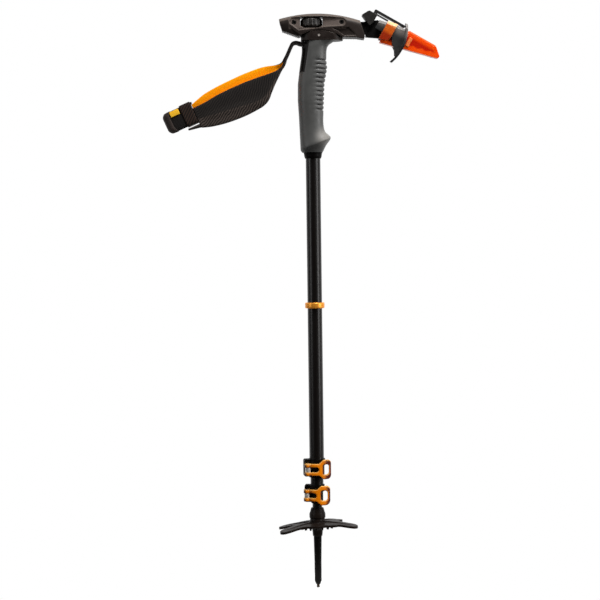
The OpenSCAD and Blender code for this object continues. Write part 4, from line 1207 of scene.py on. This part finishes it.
# %% World
DIM_FRONT, BRIGHT_BACK = 0.03, 0.9
BACK_FROM, BACK_FULL = 0.05, 0.6
world = bpy.data.worlds.new("studio")
scene.world = world
world.use_nodes = True
tree = world.node_tree
tree.nodes.clear()
direction = add(tree, "ShaderNodeTexCoord").outputs["Generated"]
axes = add(tree, "ShaderNodeSeparateXYZ", {0: direction})
behind = add(tree, "ShaderNodeMapRange", {"Value": axes.outputs["Y"], 1: BACK_FROM, 2: BACK_FULL}).outputs[0]
dome = add(tree, "ShaderNodeMapRange", {"Value": behind, 3: DIM_FRONT, 4: BRIGHT_BACK})
rays = add(tree, "ShaderNodeLightPath").outputs
direct = add(
    tree,
    "ShaderNodeMath",
    {0: rays["Is Camera Ray"], 1: rays["Is Transmission Ray"]},
    operation="MAXIMUM",
)
mirrored = add(tree, "ShaderNodeMath", {0: rays["Is Glossy Ray"], 1: behind}, operation="MULTIPLY")
plain = add(tree, "ShaderNodeMath", {0: direct.outputs[0], 1: mirrored.outputs[0]}, operation="MAXIMUM")
strength = add(
    tree, "ShaderNodeMix", {0: plain.outputs[0], 2: dome.outputs[0], 3: 1.0}, data_type="FLOAT"
)
glow = add(tree, "ShaderNodeBackground", {"Color": (1, 1, 1, 1), "Strength": strength.outputs[0]})
add(tree, "ShaderNodeOutputWorld", {"Surface": glow.outputs[0]})
print("world ready")

# %% [markdown]
# ## Soft boxes
# Two tall boxes stand at the sides, the right one brighter, and a large one hangs above, in front.
# An area lamp is a soft box: its size sets how wide the pale lines on the tubes are.

# %% Soft boxes
POLE_MIDDLE = Vector((0, 0, 0.4))
SOFT_BOXES = {
    "left_box": ((-1.9, -1.1, 0.9), (0.7, 1.6), 11),
    "right_box": ((1.9, -0.9, 0.8), (0.7, 1.6), 26),
    "top_box": ((0.5, -0.7, 2.4), (1.0, 0.8), 58),
}
for name, (place, size, watts) in SOFT_BOXES.items():
    lamp = bpy.data.lights.new(name, "AREA")
    lamp.shape = "RECTANGLE"
    lamp.size, lamp.size_y = size
    lamp.energy = watts
    box = bpy.data.objects.new(name, lamp)
    box.location = place
    box.rotation_euler = (POLE_MIDDLE - Vector(place)).to_track_quat("-Z", "Y").to_euler()
    scene.collection.objects.link(box)
    print(name, watts, "W")

# %% [markdown]
# ## Floor
# The pole stands with its tip on a small round of pale paper, which keeps a faint shadow. A wide
# plane would do as well, but its far edge would cross the white behind the pole.

# %% Floor
FLOOR_RADIUS = 0.11
FLOOR_DROP = 0.5 * MM
bm = bmesh.new()
bmesh.ops.create_circle(bm, cap_ends=True, segments=96, radius=FLOOR_RADIUS)
bmesh.ops.translate(bm, verts=bm.verts, vec=(0, 0, -FLOOR_DROP))
floor = as_object("floor", bm)
print("floor is", 2 * FLOOR_RADIUS, "m wide")

# %% [markdown]
# Plain white paper would look grey beside the white world, so it also glows to the rays that see the
# backdrop. Towards its rim the glow grows to full white and the paper's own colour fades to black,
# so no edge shows and the shadow stays in the middle.

# %% Paper of the floor
FLOOR_GLOW = 0.7
RIM_FROM, RIM_FULL = 0.4, 0.95
paper = bpy.data.materials.new("white_paper_floor")
paper.use_nodes = True
tree = paper.node_tree
tree.nodes.clear()
rays = add(tree, "ShaderNodeLightPath").outputs
mirrored = add(
    tree,
    "ShaderNodeMath",
    {0: rays["Is Glossy Ray"], 1: rays["Is Transmission Ray"]},
    operation="MAXIMUM",
)
seen = add(
    tree, "ShaderNodeMath", {0: rays["Is Camera Ray"], 1: mirrored.outputs[0]}, operation="MAXIMUM"
)
place = add(tree, "ShaderNodeTexCoord").outputs["Object"]
reach = add(tree, "ShaderNodeVectorMath", {0: place}, operation="LENGTH")
rim = add(
    tree,
    "ShaderNodeMapRange",
    {"Value": reach.outputs["Value"], 1: RIM_FROM * FLOOR_RADIUS, 2: RIM_FULL * FLOOR_RADIUS},
    interpolation_type="SMOOTHSTEP",
).outputs[0]
level = add(tree, "ShaderNodeMapRange", {"Value": rim, 3: FLOOR_GLOW, 4: 1.0})
lift = add(tree, "ShaderNodeMath", {0: seen.outputs[0], 1: level.outputs[0]}, operation="MULTIPLY")
glow = add(tree, "ShaderNodeEmission", {"Color": (1, 1, 1, 1), "Strength": lift.outputs[0]})
colour = add(
    tree, "ShaderNodeMix", {0: rim, MIX_A: linear("#d9d9d9"), MIX_B: linear("#000000")}, data_type="RGBA"
)
matt = add(tree, "ShaderNodeBsdfDiffuse", {"Color": colour.outputs[MIX_OUT]})
both = add(tree, "ShaderNodeAddShader", {0: glow.outputs[0], 1: matt.outputs[0]})
add(tree, "ShaderNodeOutputMaterial", {"Surface": both.outputs[0]})
floor.data.materials.append(paper)
scene.view_settings.view_transform = "Standard"
print("paper ready")
